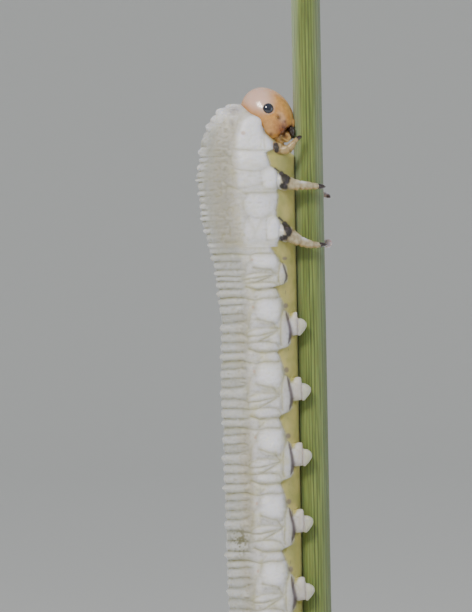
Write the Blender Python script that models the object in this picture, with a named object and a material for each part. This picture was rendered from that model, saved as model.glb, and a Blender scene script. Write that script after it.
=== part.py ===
# A sawfly larva, life size, climbing head up on a cut length of grass stem that a plain stand holds.
#
# The stem's axis is the Z axis. The larva's back faces -X and its belly faces the stem. Its right side
# is at -Y and its left side at +Y. The base lies on z = 0.

import math

import bmesh
import bpy
from mathutils import Vector

mm = 0.001

# Gaps between nodes: at the cuts across the body, and at the seats of the small pieces
cut_gap = 0.25 * mm
seat_gap = 0.15 * mm
fine_gap = 0.09 * mm

# Stand and stem
base_radius = 12.5 * mm
base_thickness = 2.5 * mm
base_edge = 0.4 * mm
base_sides = 48
rod_radius = 0.5 * mm
rod_length = 3.8 * mm
rod_sides = 16
stem_radius = 0.65 * mm
stem_below_tail = 3.0 * mm
stem_above_neck = 5.2 * mm
stem_sides = 20
rod_foot = base_thickness + cut_gap
stem_foot = rod_foot + rod_length + cut_gap
tail_end = stem_foot + stem_below_tail

# One row for each body segment, from the neck to the tail: its name, its length, how far its back stands
# from the stem's axis, its half width without the side lobes, and the number of folds across its back.
segments = (
    ("prothorax", 2.37 * mm, 4.60 * mm, 1.46 * mm, 4),
    ("mesothorax", 1.76 * mm, 4.98 * mm, 1.60 * mm, 4),
    ("metathorax", 2.33 * mm, 4.80 * mm, 1.60 * mm, 5),
    ("abdomen_1", 1.84 * mm, 4.24 * mm, 1.52 * mm, 5),
    ("abdomen_2", 2.82 * mm, 4.01 * mm, 1.48 * mm, 7),
    ("abdomen_3", 2.96 * mm, 4.09 * mm, 1.48 * mm, 7),
    ("abdomen_4", 2.91 * mm, 4.02 * mm, 1.48 * mm, 7),
    ("abdomen_5", 3.00 * mm, 3.98 * mm, 1.48 * mm, 7),
    ("abdomen_6", 3.05 * mm, 3.95 * mm, 1.48 * mm, 7),
    ("abdomen_7", 2.96 * mm, 3.90 * mm, 1.46 * mm, 7),
    ("abdomen_8", 2.60 * mm, 3.76 * mm, 1.38 * mm, 7),
    ("abdomen_9", 1.61 * mm, 3.48 * mm, 1.24 * mm, 4),
    ("abdomen_10", 1.97 * mm, 3.24 * mm, 1.08 * mm, 5),
)
belly = stem_radius + seat_gap
neck_top = tail_end + sum(row[1] for row in segments)
stem_top = neck_top + stem_above_neck
last_segment = len(segments) - 1

# The collar: the first segment's rings fan out between the neck's slanting rim and the level cut behind.
# The rim starts on the back at neck_top and ends on the throat. The exponents round the back's outline
# and gather the rings towards the rim.
rim_back = 3.02 * mm
rim_throat = 1.62 * mm
rim_throat_drop = 1.56 * mm
rim_width = 1.26 * mm
collar_back = 4.88 * mm
collar_width = 1.57 * mm
collar_arch = (1.6, 0.40)
collar_spread = 1.5

# The rump: where its last ring lies, how far its belly leaves the stem, how far its tip stands out, and
# the exponents that round it off.
rump_end = 0.97
rump_lift = 0.34 * mm
rump_tip = 0.10 * mm
rump_arch = (2.6, 0.5)

# Relief of the skin. Angles run from 0 on the back to 180 on the belly, and places from 0 at a
# segment's front to 1 at its end. A lobe is its place, angle, half length, half angle and height.
ring_angles = (0, 20, 40, 58, 74, 88, 101, 114, 126, 138, 150, 164, 180)
body_roundness = 2.15
fold_height = 0.055 * mm
tall_folds = (2, 6)
tall_fold_share = 1.7
fold_edge = (62.0, 92.0)
fold_left = 0.4
belly_angle = 130.0
side_lobes = (
    (0.33, 102.0, 0.27, 30.0, 0.30 * mm),
    (0.72, 97.0, 0.15, 28.0, 0.22 * mm),
    (0.03, 99.0, 0.10, 26.0, 0.15 * mm),
    (0.96, 99.0, 0.09, 26.0, 0.15 * mm),
)
foot_lobe = (0.61, 134.0, 0.34, 19.0, 0.32 * mm)
hip_lobe = (0.60, 128.0, 0.40, 24.0, 0.28 * mm)
lobed_segments = range(1, 12)
hip_segments = range(0, 3)
foot_segments = range(3, 12)

# Head: an egg whose long axis runs from the crown to the mouth, tipped forward by the pitch. Places on
# it are along the axis, towards the face and out to the side.
head_centre = Vector((-1.82 * mm, 0.0, neck_top - 0.62 * mm))
head_pitch = math.radians(30.0)
head_size = (1.42 * mm, 1.14 * mm, 1.24 * mm)
head_sides = 26
head_steps = 16
to_mouth = Vector((math.sin(head_pitch), 0.0, -math.cos(head_pitch)))
to_face = Vector((math.cos(head_pitch), 0.0, math.sin(head_pitch)))
to_left = Vector((0.0, 1.0, 0.0))
small_sides = 10
small_steps = 6

eye_radius = 0.22 * mm
eye_place = (-0.31 * mm, 0.24 * mm)
eye_sunk = 0.09 * mm
antenna_place = (0.25 * mm, 0.43 * mm)
antenna_radii = (0.15 * mm, 0.15 * mm, 0.06 * mm)
antenna_sunk = 0.18 * mm
antenna_length = 0.24 * mm
mandible_place = (1.12 * mm, 0.55 * mm, 0.30 * mm)
mandible_size = (0.34 * mm, 0.25 * mm, 0.24 * mm)
clypeus = ((0.80 * mm, 0.62 * mm, 0.0), (0.34 * mm, 0.28 * mm, 0.54 * mm))
labium = ((1.20 * mm, -0.06 * mm, 0.0), (0.40 * mm, 0.28 * mm, 0.32 * mm))
maxilla = ((1.16 * mm, 0.04 * mm, 0.38 * mm), (0.42 * mm, 0.28 * mm, 0.22 * mm))

# Thoracic legs. A row is the leg's segment, how far its root lies below the neck, how much lower the
# left leg reaches, and its line from root to claw as x, height over the root and distance from the
# middle plane, in millimetres.
leg_sides = 8
leg_radii = (0.42, 0.40, 0.34, 0.27, 0.25, 0.25, 0.18)
legs = {
    "leg_front": (
        0, 1.96 * mm, 0.06 * mm,
        ((-1.80, -0.06, 0.76), (-1.40, -0.08, 1.04), (-1.10, -0.15, 1.20), (-0.88, -0.04, 1.28),
         (-0.70, 0.12, 1.28), (-0.52, 0.28, 1.22), (-0.36, 0.41, 1.12), (-0.25, 0.49, 1.02)),
    ),
    "leg_middle": (
        1, 3.54 * mm, 0.30 * mm,
        ((-1.75, 0.04, 0.80), (-1.32, 0.02, 1.10), (-0.96, -0.08, 1.26), (-0.58, -0.17, 1.27),
         (-0.14, -0.21, 1.22), (0.28, -0.24, 1.12), (0.62, -0.27, 0.88), (0.78, -0.28, 0.58)),
    ),
    "leg_hind": (
        2, 5.82 * mm, 0.05 * mm,
        ((-1.75, 0.06, 0.80), (-1.32, 0.02, 1.10), (-0.92, -0.12, 1.26), (-0.54, -0.34, 1.27),
         (-0.12, -0.52, 1.22), (0.30, -0.60, 1.12), (0.66, -0.58, 0.88), (0.80, -0.53, 0.58)),
    ),
}

# Prolegs: fleshy feet on the second to eighth abdominal segments and the last one. Their sections stand
# square to X, and each is a distance from the stem's axis, a distance from the middle plane, half its
# height and half its thickness, in millimetres.
proleg_segments = (2, 3, 4, 5, 6, 7, 8, 10)
proleg_at = 0.61
tail_proleg_at = 0.46
tail_proleg_inset = 0.16 * mm
tail_proleg_size = 0.80
proleg_sides = 10
proleg_sections = (
    (-1.50, 0.98, 0.52, 0.34),
    (-1.20, 1.06, 0.60, 0.36),
    (-0.85, 1.14, 0.60, 0.34),
    (-0.60, 1.18, 0.50, 0.30),
    (-0.42, 1.19, 0.40, 0.28),
    (-0.20, 1.17, 0.27, 0.20),
)
proleg_end = (-0.11, 1.15)

# Finish: base colour, roughness and metallic value
finishes = {
    "milky_skin": ((0.78, 0.78, 0.70), 0.45, 0.0),
    "tan_head_capsule": ((0.72, 0.45, 0.20), 0.28, 0.0),
    "pale_horn": ((0.62, 0.53, 0.40), 0.35, 0.0),
    "dark_brown_horn": ((0.06, 0.02, 0.012), 0.25, 0.0),
    "eye_black": ((0.01, 0.01, 0.02), 0.08, 0.0),
    "grass_stem": ((0.27, 0.33, 0.09), 0.55, 0.0),
    "stained_wood": ((0.10, 0.06, 0.035), 0.5, 0.0),
    "steel_rod": ((0.60, 0.60, 0.62), 0.3, 1.0),
}


def clear_scene():
    for old in list(bpy.data.objects):
        bpy.data.objects.remove(old, do_unlink=True)


def make_material(name):
    colour, roughness, metallic = finishes[name]
    material = bpy.data.materials.new(name)
    material.use_nodes = True
    shader = material.node_tree.nodes["Principled BSDF"]
    shader.inputs["Base Color"].default_value = (*colour, 1.0)
    shader.inputs["Roughness"].default_value = roughness
    shader.inputs["Metallic"].default_value = metallic
    return material


def loft(name, rings, material, start_tip=None, end_tip=None):
    # A closed skin over rings of points, with a flat cap or a pointed tip at each end
    shape = bmesh.new()
    grid = [[shape.verts.new(point) for point in ring] for ring in rings]
    count = len(grid[0])
    for near, far in zip(grid, grid[1:]):
        for i in range(count):
            j = (i + 1) % count
            shape.faces.new((near[i], near[j], far[j], far[i]))
    for ring, tip in ((grid[0], start_tip), (grid[-1], end_tip)):
        if tip is None:
            shape.faces.new(ring)
        else:
            top = shape.verts.new(tip)
            for i in range(count):
                shape.faces.new((ring[i], ring[(i + 1) % count], top))
    bmesh.ops.recalc_face_normals(shape, faces=shape.faces[:])
    mesh = bpy.data.meshes.new(name)
    shape.to_mesh(mesh)
    shape.free()
    mesh.shade_smooth()
    mesh.materials.append(material)
    body = bpy.data.objects.new(name, mesh)
    bpy.context.scene.collection.objects.link(body)
    return body


def keep_largest(mesh):
    # A Boolean can leave scraps or sealed hollows, so only the biggest closed surface stays.
    shape = bmesh.new()
    shape.from_mesh(mesh)
    left = set(shape.verts)
    islands = []
    while left:
        island = []
        queue = [left.pop()]
        while queue:
            vertex = queue.pop()
            island.append(vertex)
            for edge in vertex.link_edges:
                other = edge.other_vert(vertex)
                if other in left:
                    left.remove(other)
                    queue.append(other)
        islands.append(island)
    islands.sort(key=len)
    spare = [vertex for island in islands[:-1] for vertex in island]
    bmesh.ops.delete(shape, geom=spare, context="VERTS")
    shape.to_mesh(mesh)
    shape.free()


def combine(body, pieces, operation):
    # One Boolean with a collection of closed pieces, applied, after which the pieces are removed
    group = bpy.data.collections.new(body.name + "_pieces")
    bpy.context.scene.collection.children.link(group)
    for piece in pieces:
        bpy.context.scene.collection.objects.unlink(piece)
        group.objects.link(piece)
    modifier = body.modifiers.new("shape", "BOOLEAN")
    modifier.operation = operation
    modifier.operand_type = "COLLECTION"
    modifier.collection = group
    modifier.solver = "EXACT"
    bpy.context.view_layer.update()
    graph = bpy.context.evaluated_depsgraph_get()
    mesh = bpy.data.meshes.new_from_object(body.evaluated_get(graph))
    body.modifiers.clear()
    body.data = mesh
    keep_largest(mesh)
    for piece in pieces:
        bpy.data.objects.remove(piece, do_unlink=True)
    bpy.data.collections.remove(group)


# Body segments

def segment_ends():
    # Height of each segment's front and rear, from the neck down
    ends = []
    front = neck_top
    for row in segments:
        ends.append((front, front - row[1]))
        front -= row[1]
    return ends


levels = segment_ends()
middles = [(front + rear) / 2 for front, rear in levels]


def read_column(height, column):
    # A column of the segment table at a height, in straight lines between the segments' middles
    if height >= middles[0]:
        return segments[0][column]
    for i in range(last_segment):
        if height >= middles[i + 1]:
            share = (middles[i] - height) / (middles[i] - middles[i + 1])
            return segments[i][column] * (1 - share) + segments[i + 1][column] * share
    return segments[-1][column]


def collar_section(place):
    # The collar's back point, belly point and half width at a place from its rim to its rear
    drop = place ** collar_spread
    arch = (1 - (1 - drop) ** collar_arch[0]) ** collar_arch[1]
    back = Vector((
        -(rim_back + (collar_back - rim_back) * arch), 0.0, neck_top + (levels[0][1] - neck_top) * drop,
    ))
    throat = Vector((-rim_throat, 0.0, neck_top - rim_throat_drop))
    near = throat.lerp(Vector((-belly, 0.0, levels[0][1])), place)
    return back, near, rim_width + (collar_width - rim_width) * (1 - (1 - place) ** 2)


def level_section(height):
    # The same for a level ring of the other segments, with the rump's rounding
    back, near, width = read_column(height, 2), belly, read_column(height, 3)
    rump_front, rump_rear = levels[-1]
    if height < rump_front:
        share = rump_end * (rump_front - height) / (rump_front - rump_rear)
        arch = (1 - share ** rump_arch[0]) ** rump_arch[1]
        near += rump_lift * share * share
        back = near + (back - near) * arch
        width *= arch
    return Vector((-back, 0.0, height)), Vector((-near, 0.0, height)), width


def smooth_step(value, low, high):
    share = min(1.0, max(0.0, (value - low) / (high - low)))
    return share * share * (3.0 - 2.0 * share)


def lobe_height(place, angle, lobe):
    middle, centre, half_length, half_angle, height = lobe
    reach = ((place - middle) / half_length) ** 2 + ((angle - centre) / half_angle) ** 2
    return height * max(0.0, 1.0 - reach)


def side_relief(index, place, angle):
    # Height of the lobes along the side over the plain cross-section
    lobes = []
    if index in lobed_segments:
        lobes.extend(side_lobes)
    if index in hip_segments:
        lobes.append(hip_lobe)
    if index in foot_segments:
        lobes.append(foot_lobe)
    return max([0.0] + [lobe_height(place, angle, lobe) for lobe in lobes])


def body_ring(index, place, fold, section):
    back, near, width = section
    middle = (back + near) / 2
    depth = (back - near).length / 2
    to_back = (back - near).normalized()
    power = 2.0 / body_roundness
    right = [(angle, -1.0) for angle in ring_angles]
    left = [(angle, 1.0) for angle in reversed(ring_angles[1:-1])]
    ring = []
    for angle, side in right + left:
        turn = math.radians(angle)
        along = math.copysign(abs(math.cos(turn)) ** power, math.cos(turn))
        across = math.sin(turn) ** power if 0 < angle < 180 else 0.0
        share = 1.0 - (1.0 - fold_left) * smooth_step(angle, *fold_edge)
        if angle > belly_angle:
            share = 0.0
        push = fold * share + side_relief(index, place, angle)
        point = middle + to_back * (depth + push) * along
        point.x = min(point.x, -belly)
        point.y = side * (width + push) * across
        ring.append(point)
    return ring


def make_segment(index, material):
    name, _, _, _, folds = segments[index]
    front, rear = levels[index]
    if index > 0:
        front -= cut_gap / 2
    steps = 2 * folds
    rings = []
    for i in range(steps + 1):
        fold = -fold_height
        if i % 2:
            tall = folds == 7 and (i + 1) // 2 in tall_folds
            fold = fold_height * (tall_fold_share if tall else 1.0)
        place = i / steps
        if index == 0:
            section = collar_section(place)
            section[0].z += cut_gap / 2 * place
            section[1].z += cut_gap / 2 * place
        else:
            end = rear if index == last_segment else rear + cut_gap / 2
            section = level_section(front + (end - front) * place)
        rings.append(body_ring(index, place, fold, section))
    if index < last_segment:
        return loft(name, rings, material)
    back, near, _ = section
    return loft(name, rings, material, end_tip=(back + near) / 2 - Vector((0.0, 0.0, rump_tip)))


# Limbs. Each is also made grown by a gap, as the cutter of its own seat.

def make_leg(name, side, material, gap=0.0):
    _, drop, left_sag, points = legs[name]
    line = []
    for i, (x, z, y) in enumerate(points):
        sag = left_sag * (i / (len(points) - 1)) ** 2 if side > 0 else 0.0
        line.append(Vector((x * mm, side * y * mm, neck_top - drop + z * mm - sag)))
    tip = line.pop()
    line[0] -= (line[1] - line[0]).normalized() * gap
    rings = []
    for i, point in enumerate(line):
        before = line[max(0, i - 1)]
        after = (line + [tip])[i + 1]
        along = (after - before).normalized()
        across = along.cross(Vector((0.0, 0.0, 1.0))).normalized()
        up = across.cross(along)
        radius = leg_radii[i] * mm + gap
        turns = [2 * math.pi * k / leg_sides for k in range(leg_sides)]
        rings.append([point + (across * math.cos(t) + up * math.sin(t)) * radius for t in turns])
    return loft(name, rings, material, end_tip=tip)


def make_proleg(number, side, material, gap=0.0):
    front, rear = levels[number + 2]
    on_tail = number == proleg_segments[-1]
    height = front + (rear - front) * (tail_proleg_at if on_tail else proleg_at)
    inset = tail_proleg_inset if on_tail else 0.0
    size = tail_proleg_size * mm if on_tail else mm
    rings = []
    for x, y, half_height, half_thickness in proleg_sections:
        root_gap = 0.0 if rings else gap
        rings.append([
            Vector((
                x * mm - root_gap,
                side * (y * mm - inset + math.cos(turn) * (half_thickness * size + gap)),
                height + math.sin(turn) * (half_height * size + gap),
            ))
            for turn in (2 * math.pi * k / proleg_sides for k in range(proleg_sides))
        ])
    tip = Vector((proleg_end[0] * mm, side * (proleg_end[1] * mm - inset), height))
    return loft("proleg", rings, material, end_tip=tip)


# Head

def head_point(along, front, side):
    return head_centre + to_mouth * along + to_face * front + to_left * side


def egg(name, place, size, material, sides=small_sides, steps=small_steps, gap=0.0):
    # Half sizes lie along the directions to the mouth, to the face and to the side
    long, deep, wide = (half + gap for half in size)
    centre = head_point(*place)
    rings = []
    for i in range(1, steps):
        turn = math.pi * i / steps
        rings.append([
            centre - to_mouth * long * math.cos(turn)
            + to_face * deep * math.sin(turn) * math.cos(2 * math.pi * k / sides)
            + to_left * wide * math.sin(turn) * math.sin(2 * math.pi * k / sides)
            for k in range(sides)
        ])
    return loft(name, rings, material, centre - to_mouth * long, centre + to_mouth * long)


def head_half_width(along, front):
    long, deep, wide = head_size
    return wide * math.sqrt(1.0 - (along / long) ** 2 - (front / deep) ** 2)


def make_shell(name, material, gap=0.0):
    return egg(name, (0.0, 0.0, 0.0), head_size, material, head_sides, head_steps, gap)


def make_eye(side, material, gap=0.0):
    depth = head_half_width(*eye_place) - eye_sunk
    return egg("eye", (*eye_place, side * depth), (eye_radius,) * 3, material, gap=gap)


def make_antenna(side, material, gap=0.0):
    surface = head_half_width(*antenna_place)
    depths = (surface - antenna_sunk - gap, surface, surface + antenna_length + gap)
    rings = []
    for depth, radius in zip(depths, antenna_radii):
        centre = head_point(*antenna_place, side * depth)
        turns = [2 * math.pi * k / small_sides for k in range(small_sides)]
        rings.append([
            centre + (to_mouth * math.cos(t) + to_face * math.sin(t)) * (radius + gap) for t in turns
        ])
    return loft("antenna", rings, material)


def make_mandible(side, material, gap=0.0):
    along, front, across = mandible_place
    return egg("mandible", (along, front, side * across), mandible_size, material, gap=gap)


def make_mouthparts(material, gap=0.0):
    # The clypeus over the jaws, and the labium and two maxillae under them
    (along, front, across), size = maxilla
    places = [clypeus, labium]
    places += [((along, front, side * across), size) for side in (-1, 1)]
    return [egg("mouthpart", *place, material, gap=gap) for place in places]


def make_head(material):
    head = make_shell("head", material)
    combine(head, make_mouthparts(material), "UNION")
    seats = []
    for side in (-1, 1):
        for make_piece in (make_eye, make_antenna, make_mandible):
            seats.append(make_piece(side, material, fine_gap))
    combine(head, seats, "DIFFERENCE")


# Stem and stand

def disc_ring(radius, height, sides):
    turns = [2 * math.pi * k / sides for k in range(sides)]
    return [Vector((radius * math.cos(t), radius * math.sin(t), height)) for t in turns]


def make_stand(base_material, rod_material):
    loft("stand_base", [
        disc_ring(base_radius, 0.0, base_sides),
        disc_ring(base_radius, base_thickness - base_edge, base_sides),
        disc_ring(base_radius - base_edge, base_thickness, base_sides),
    ], base_material)
    loft("stand_rod", [
        disc_ring(rod_radius, rod_foot, rod_sides),
        disc_ring(rod_radius, rod_foot + rod_length, rod_sides),
    ], rod_material)


def make_stem(material):
    loft("stem", [
        disc_ring(stem_radius, stem_foot, stem_sides),
        disc_ring(stem_radius, stem_top, stem_sides),
    ], material)


def make_body(skin):
    leg_names = {row[0]: name for name, row in legs.items()}
    for index in range(len(segments)):
        seats = []
        if index == 0:
            seats.append(make_shell("head_seat", skin, cut_gap))
            seats.extend(make_mouthparts(skin, cut_gap))
        for side in (-1, 1):
            if index in leg_names:
                seats.append(make_leg(leg_names[index], side, skin, seat_gap))
            if index - 2 in proleg_segments:
                seats.append(make_proleg(index - 2, side, skin, seat_gap))
        segment = make_segment(index, skin)
        if seats:
            combine(segment, seats, "DIFFERENCE")


def main():
    clear_scene()
    finish = {name: make_material(name) for name in finishes}
    make_stand(finish["stained_wood"], finish["steel_rod"])
    make_stem(finish["grass_stem"])
    make_body(finish["milky_skin"])
    make_head(finish["tan_head_capsule"])
    for side, word in ((-1, "right"), (1, "left")):
        make_eye(side, finish["eye_black"]).name = "eye_" + word
        make_antenna(side, finish["pale_horn"]).name = "antenna_" + word
        make_mandible(side, finish["dark_brown_horn"]).name = "mandible_" + word
        for name in legs:
            make_leg(name, side, finish["pale_horn"]).name = f"{name}_{word}"
        for number in proleg_segments:
            make_proleg(number, side, finish["milky_skin"]).name = f"proleg_{number}_{word}"


main()
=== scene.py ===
import math

import bpy
import numpy as np
from mathutils import Matrix, Vector


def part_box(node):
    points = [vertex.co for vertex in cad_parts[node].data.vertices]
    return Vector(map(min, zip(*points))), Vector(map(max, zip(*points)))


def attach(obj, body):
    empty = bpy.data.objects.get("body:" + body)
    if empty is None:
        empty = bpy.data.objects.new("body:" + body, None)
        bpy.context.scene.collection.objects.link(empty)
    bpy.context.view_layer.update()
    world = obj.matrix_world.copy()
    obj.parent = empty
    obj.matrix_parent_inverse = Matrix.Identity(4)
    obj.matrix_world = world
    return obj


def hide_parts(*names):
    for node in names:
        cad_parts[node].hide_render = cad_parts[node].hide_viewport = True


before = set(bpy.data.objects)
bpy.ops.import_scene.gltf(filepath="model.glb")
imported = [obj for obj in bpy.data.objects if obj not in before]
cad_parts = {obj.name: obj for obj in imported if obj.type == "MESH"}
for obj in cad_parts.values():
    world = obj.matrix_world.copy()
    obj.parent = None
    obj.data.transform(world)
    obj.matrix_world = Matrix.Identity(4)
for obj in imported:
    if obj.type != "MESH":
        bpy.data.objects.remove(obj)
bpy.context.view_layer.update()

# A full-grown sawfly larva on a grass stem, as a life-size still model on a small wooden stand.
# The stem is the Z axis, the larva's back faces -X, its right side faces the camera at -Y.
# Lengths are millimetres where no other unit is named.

mm = 0.001
stemLow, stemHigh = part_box("stem")
neckTop = stemHigh.z / mm - 5.2  # height of the neck rim on the back
words = {-1: "right", 1: "left"}  # the larva's sides, by the sign of Y


# Helpers

def linear(hexColour):
    # sRGB hex to the linear values that a shader takes
    values = [int(hexColour[i:i + 2], 16) / 255 for i in (1, 3, 5)]
    return tuple(v / 12.92 if v <= 0.04045 else ((v + 0.055) / 1.055) ** 2.4 for v in values) + (1.0,)


def setNode(tree, node, settings):
    # Lower-case keys are the node's own settings. The others are its sockets, which take a number, a hex
    # colour, another node, of which the first output counts, or one of its outputs
    for key, value in settings.items():
        if isinstance(key, str) and key[0].islower():
            setattr(node, key, value)
        elif isinstance(value, (bpy.types.Node, bpy.types.NodeSocket)):
            tree.links.new(getattr(value, "outputs", [value])[0], node.inputs[key])
        else:
            node.inputs[key].default_value = linear(value) if isinstance(value, str) else value


def addNode(tree, kind, settings):
    node = tree.nodes.new("ShaderNode" + kind)
    setNode(tree, node, settings)
    return node


def startMaterial(name, finish):
    material = bpy.data.materials.new(name)
    material.use_nodes = True
    tree = material.node_tree
    shader = tree.nodes["Principled BSDF"]
    setNode(tree, shader, finish)
    return material, tree, shader, addNode(tree, "TexCoord", {}).outputs["Object"]


def paintLayers(tree, colour, *layers):
    # Lays one colour after another over the first, each where its mask or node says and as strong as its number
    for share, shade, strength in layers:
        if isinstance(share, str):
            share = addNode(tree, "Attribute", {"attribute_name": share}).outputs["Fac"]
        if strength < 1:
            share = addNode(tree, "Math", {"operation": "MULTIPLY", 0: share, 1: strength})
        colour = addNode(tree, "Mix", {"data_type": "RGBA", 0: share, 6: colour, 7: shade}).outputs[2]
    return colour


def smooth(value, low, high):
    share = np.clip((value - low) / (high - low), 0, 1)
    return share * share * (3 - 2 * share)


def fade(value, low, high):
    return 1 - smooth(value, low, high)


def gauss(distance, width):
    return np.exp(-(distance / width) ** 2)


def circle(count):
    return np.linspace(0, 2 * math.pi, count, endpoint=False)


def softNoise(points, size, seed):
    # Smooth value noise from -1 to 1 on a seeded lattice whose cells are size wide
    lattice = np.random.RandomState(seed).rand(32, 32, 32) * 2 - 1
    cell = points / size
    low = np.floor(cell).astype(int)
    part = cell - low
    part = part * part * (3 - 2 * part)
    total = np.zeros(len(points))
    for corner in np.ndindex(2, 2, 2):
        weight = np.where(corner, part, 1 - part)
        total += weight[:, 0] * weight[:, 1] * weight[:, 2] * lattice[tuple(((low + corner) % 32).T)]
    return total


def gridFaces(rows, columns, endTip=True):
    # Quads over rows of a closed ring, and fans to the tips, which follow the grid's own points
    index = np.arange(rows * columns).reshape(rows, columns)
    right = np.roll(index, -1, axis=1)
    faces = np.stack([index[:-1], right[:-1], right[1:], index[1:]], axis=-1).reshape(-1, 4).tolist()
    faces += [[b, a, rows * columns] for a, b in zip(index[0].tolist(), right[0].tolist())]
    if endTip:
        faces += [[a, b, rows * columns + 1] for a, b in zip(index[-1].tolist(), right[-1].tolist())]
    return faces


def makeMesh(name, shape, material, masks):
    # A shape is its points and faces; masks are numbers for each point, read by the material
    points, faces = shape
    corners = (points - points.mean(axis=0))[[face[:3] for face in faces]]
    if np.linalg.det(corners).sum() < 0:  # inside out
        faces = [face[::-1] for face in faces]
    mesh = bpy.data.meshes.new(name)
    mesh.from_pydata((points * mm).tolist(), [], faces)
    mesh.shade_smooth()
    for key, values in masks.items():
        layer = mesh.attributes.new(key, "FLOAT", "POINT")
        layer.data.foreach_set("value", (np.zeros(len(points)) + values).astype(np.float32))
    mesh.materials.append(material)
    piece = bpy.data.objects.new(name, mesh)
    bpy.context.scene.collection.objects.link(piece)
    return piece


def addPiece(name, shape, material, replaced=(), masks={}):
    piece = makeMesh(name, shape, material, masks)
    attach(piece, "root")
    if replaced:
        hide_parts(*replaced)


# Camera, at the photograph's side view: a long lens, level, with the stem leaning one degree

view = {"centreX": -3.37, "centreDepth": 9.05, "distance": 260, "lens": 341.4, "roll": -1.08}
camera = bpy.data.objects.new("camera", bpy.data.cameras.new("camera"))
camera.data.lens = view["lens"]
camera.data.sensor_width = 36
camera.data.clip_start = 0.002
camera.location = Vector((view["centreX"], -view["distance"], neckTop - view["centreDepth"])) * mm
turn = Vector((0, 1, 0)).to_track_quat("-Z", "Y").to_matrix() @ Matrix.Rotation(math.radians(view["roll"]), 3, "Z")
camera.rotation_euler = turn.to_euler()
bpy.context.scene.collection.objects.link(camera)
bpy.context.scene.camera = camera
print("camera placed")


# Soft studio light: a big soft panel from the upper left front, a weak one from the right, one behind and a
# pale room

lamps = {
    "key": {"place": (-110, -200, 220), "size": (130, 60), "power": 0.70, "colour": "#fffaf2"},
    "fill": {"place": (230, -120, 60), "size": (200, 200), "power": 0.16, "colour": "#eef3ff"},
    "back": {"place": (70, 230, 160), "size": (160, 160), "power": 0.34, "colour": "#f4f8ff"},
}
room = {"colour": "#e9ebee", "strength": 0.60, "aim": (0, 0, 30)}
for lampName, lamp in lamps.items():
    data = bpy.data.lights.new(lampName, "AREA")
    data.shape = "ELLIPSE"
    data.size, data.size_y = (size * mm for size in lamp["size"])
    data.energy = lamp["power"]
    data.color = linear(lamp["colour"])[:3]
    holder = bpy.data.objects.new(lampName, data)
    holder.location = Vector(lamp["place"]) * mm
    holder.visible_glossy = lampName != "back"  # no hard white line along the far edges
    holder.rotation_euler = (Vector(room["aim"]) * mm - holder.location).to_track_quat("-Z", "Y").to_euler()
    bpy.context.scene.collection.objects.link(holder)
world = bpy.data.worlds.new("room")
world.use_nodes = True
setNode(world.node_tree, world.node_tree.nodes["Background"], {"Color": room["colour"], "Strength": room["strength"]})
bpy.context.scene.world = world


# Floor: a plain pale sweep that curves up far from the model on all sides

floorSweep = {"flat": 900, "rise": 420, "height": 520, "colour": "#e9eae7", "sides": 96}
floorMaterial = startMaterial("paper sweep, matt", {
    "Base Color": floorSweep["colour"], "Roughness": 0.9, "Specular IOR Level": 0.2,
})[0]
floorRings = [(r, 0) for r in (60, 200, 500, floorSweep["flat"])] + [
    (floorSweep["flat"] + floorSweep["rise"] * math.sin(bend), floorSweep["height"] * (1 - math.cos(bend)))
    for bend in np.linspace(0, math.pi / 2, 13)[1:]
]
floorPoints = [(r * math.cos(t), r * math.sin(t), z) for r, z in floorRings for t in circle(floorSweep["sides"])]
floorShape = np.array(floorPoints + [(0, 0, 0)]), gridFaces(len(floorRings), floorSweep["sides"], endTip=False)
floor = makeMesh("floor", floorShape, floorMaterial, {})
floor.data.flip_normals()  # its face is the inner side, towards the model
print("light and floor set")


# Body skin: one closed skin from the neck to the rump, with the fleshy feet drawn out of it.
# The same sections as the solids: a fan of slanting rings for the collar, then level ones.
# Segments count from 0: the thorax is 0 to 2, the abdomen 3 to 12.

body = {
    "belly": 0.62,  # the belly's keel lies against the stem
    "clearance": 0.672,  # from the stem's axis
    # length, distance of the back from the stem's axis, half width, rings of small folds on the back
    "segments": (
        (2.37, 4.60, 1.46, 6), (1.76, 4.98, 1.60, 6), (2.33, 4.80, 1.60, 8), (1.84, 4.24, 1.52, 6),
        (2.82, 4.01, 1.48, 7), (2.96, 4.09, 1.48, 7), (2.91, 4.02, 1.48, 7), (3.00, 3.98, 1.48, 7),
        (3.05, 3.95, 1.48, 7), (2.96, 3.90, 1.46, 7), (2.60, 3.76, 1.38, 7), (1.61, 3.48, 1.24, 4),
        (1.97, 3.24, 1.08, 5),
    ),
    "roundness": 2.15, "columns": 340, "rowStep": 0.032, "collarRun": 3.3,
    "foldHeight": 0.082, "pointedShare": 1.75, "pointedFolds": (0, 4),
    # where the small folds of an abdominal segment end, on the back and at three places down its side
    "foldPlaces": (0, 0.16, 0.27, 0.36),
    "foldEnds": (
        (0, 0, 0, 0), (0.141, 0.139, 0.135, 0.158), (0.258, 0.25, 0.242, 0.24), (0.40, 0.395, 0.39, 0.427),
        (0.53, 0.53, 0.505, 0.465), (0.703, 0.70, 0.727, 0.74), (0.848, 0.845, 0.855, 0.864), (1, 1, 1, 1),
    ),
    # heights of the fine relief
    "lumps": 0.026, "wrinkles": 0.020, "grit": 0.011, "backGrit": 0.006, "warts": 0.06,
}
collar = {
    "rimBack": 3.02, "rimThroat": 1.62, "throatDrop": 1.56, "rimWidth": 1.26, "back": 4.86, "width": 1.53,
    "arch": (1.6, 0.40), "spread": 1.5, "lobe": 0.17, "lobeAt": 0.50,
}
rump = {"end": 0.97, "lift": 0.34, "tip": 0.10, "arch": (2.6, 0.5)}

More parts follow.
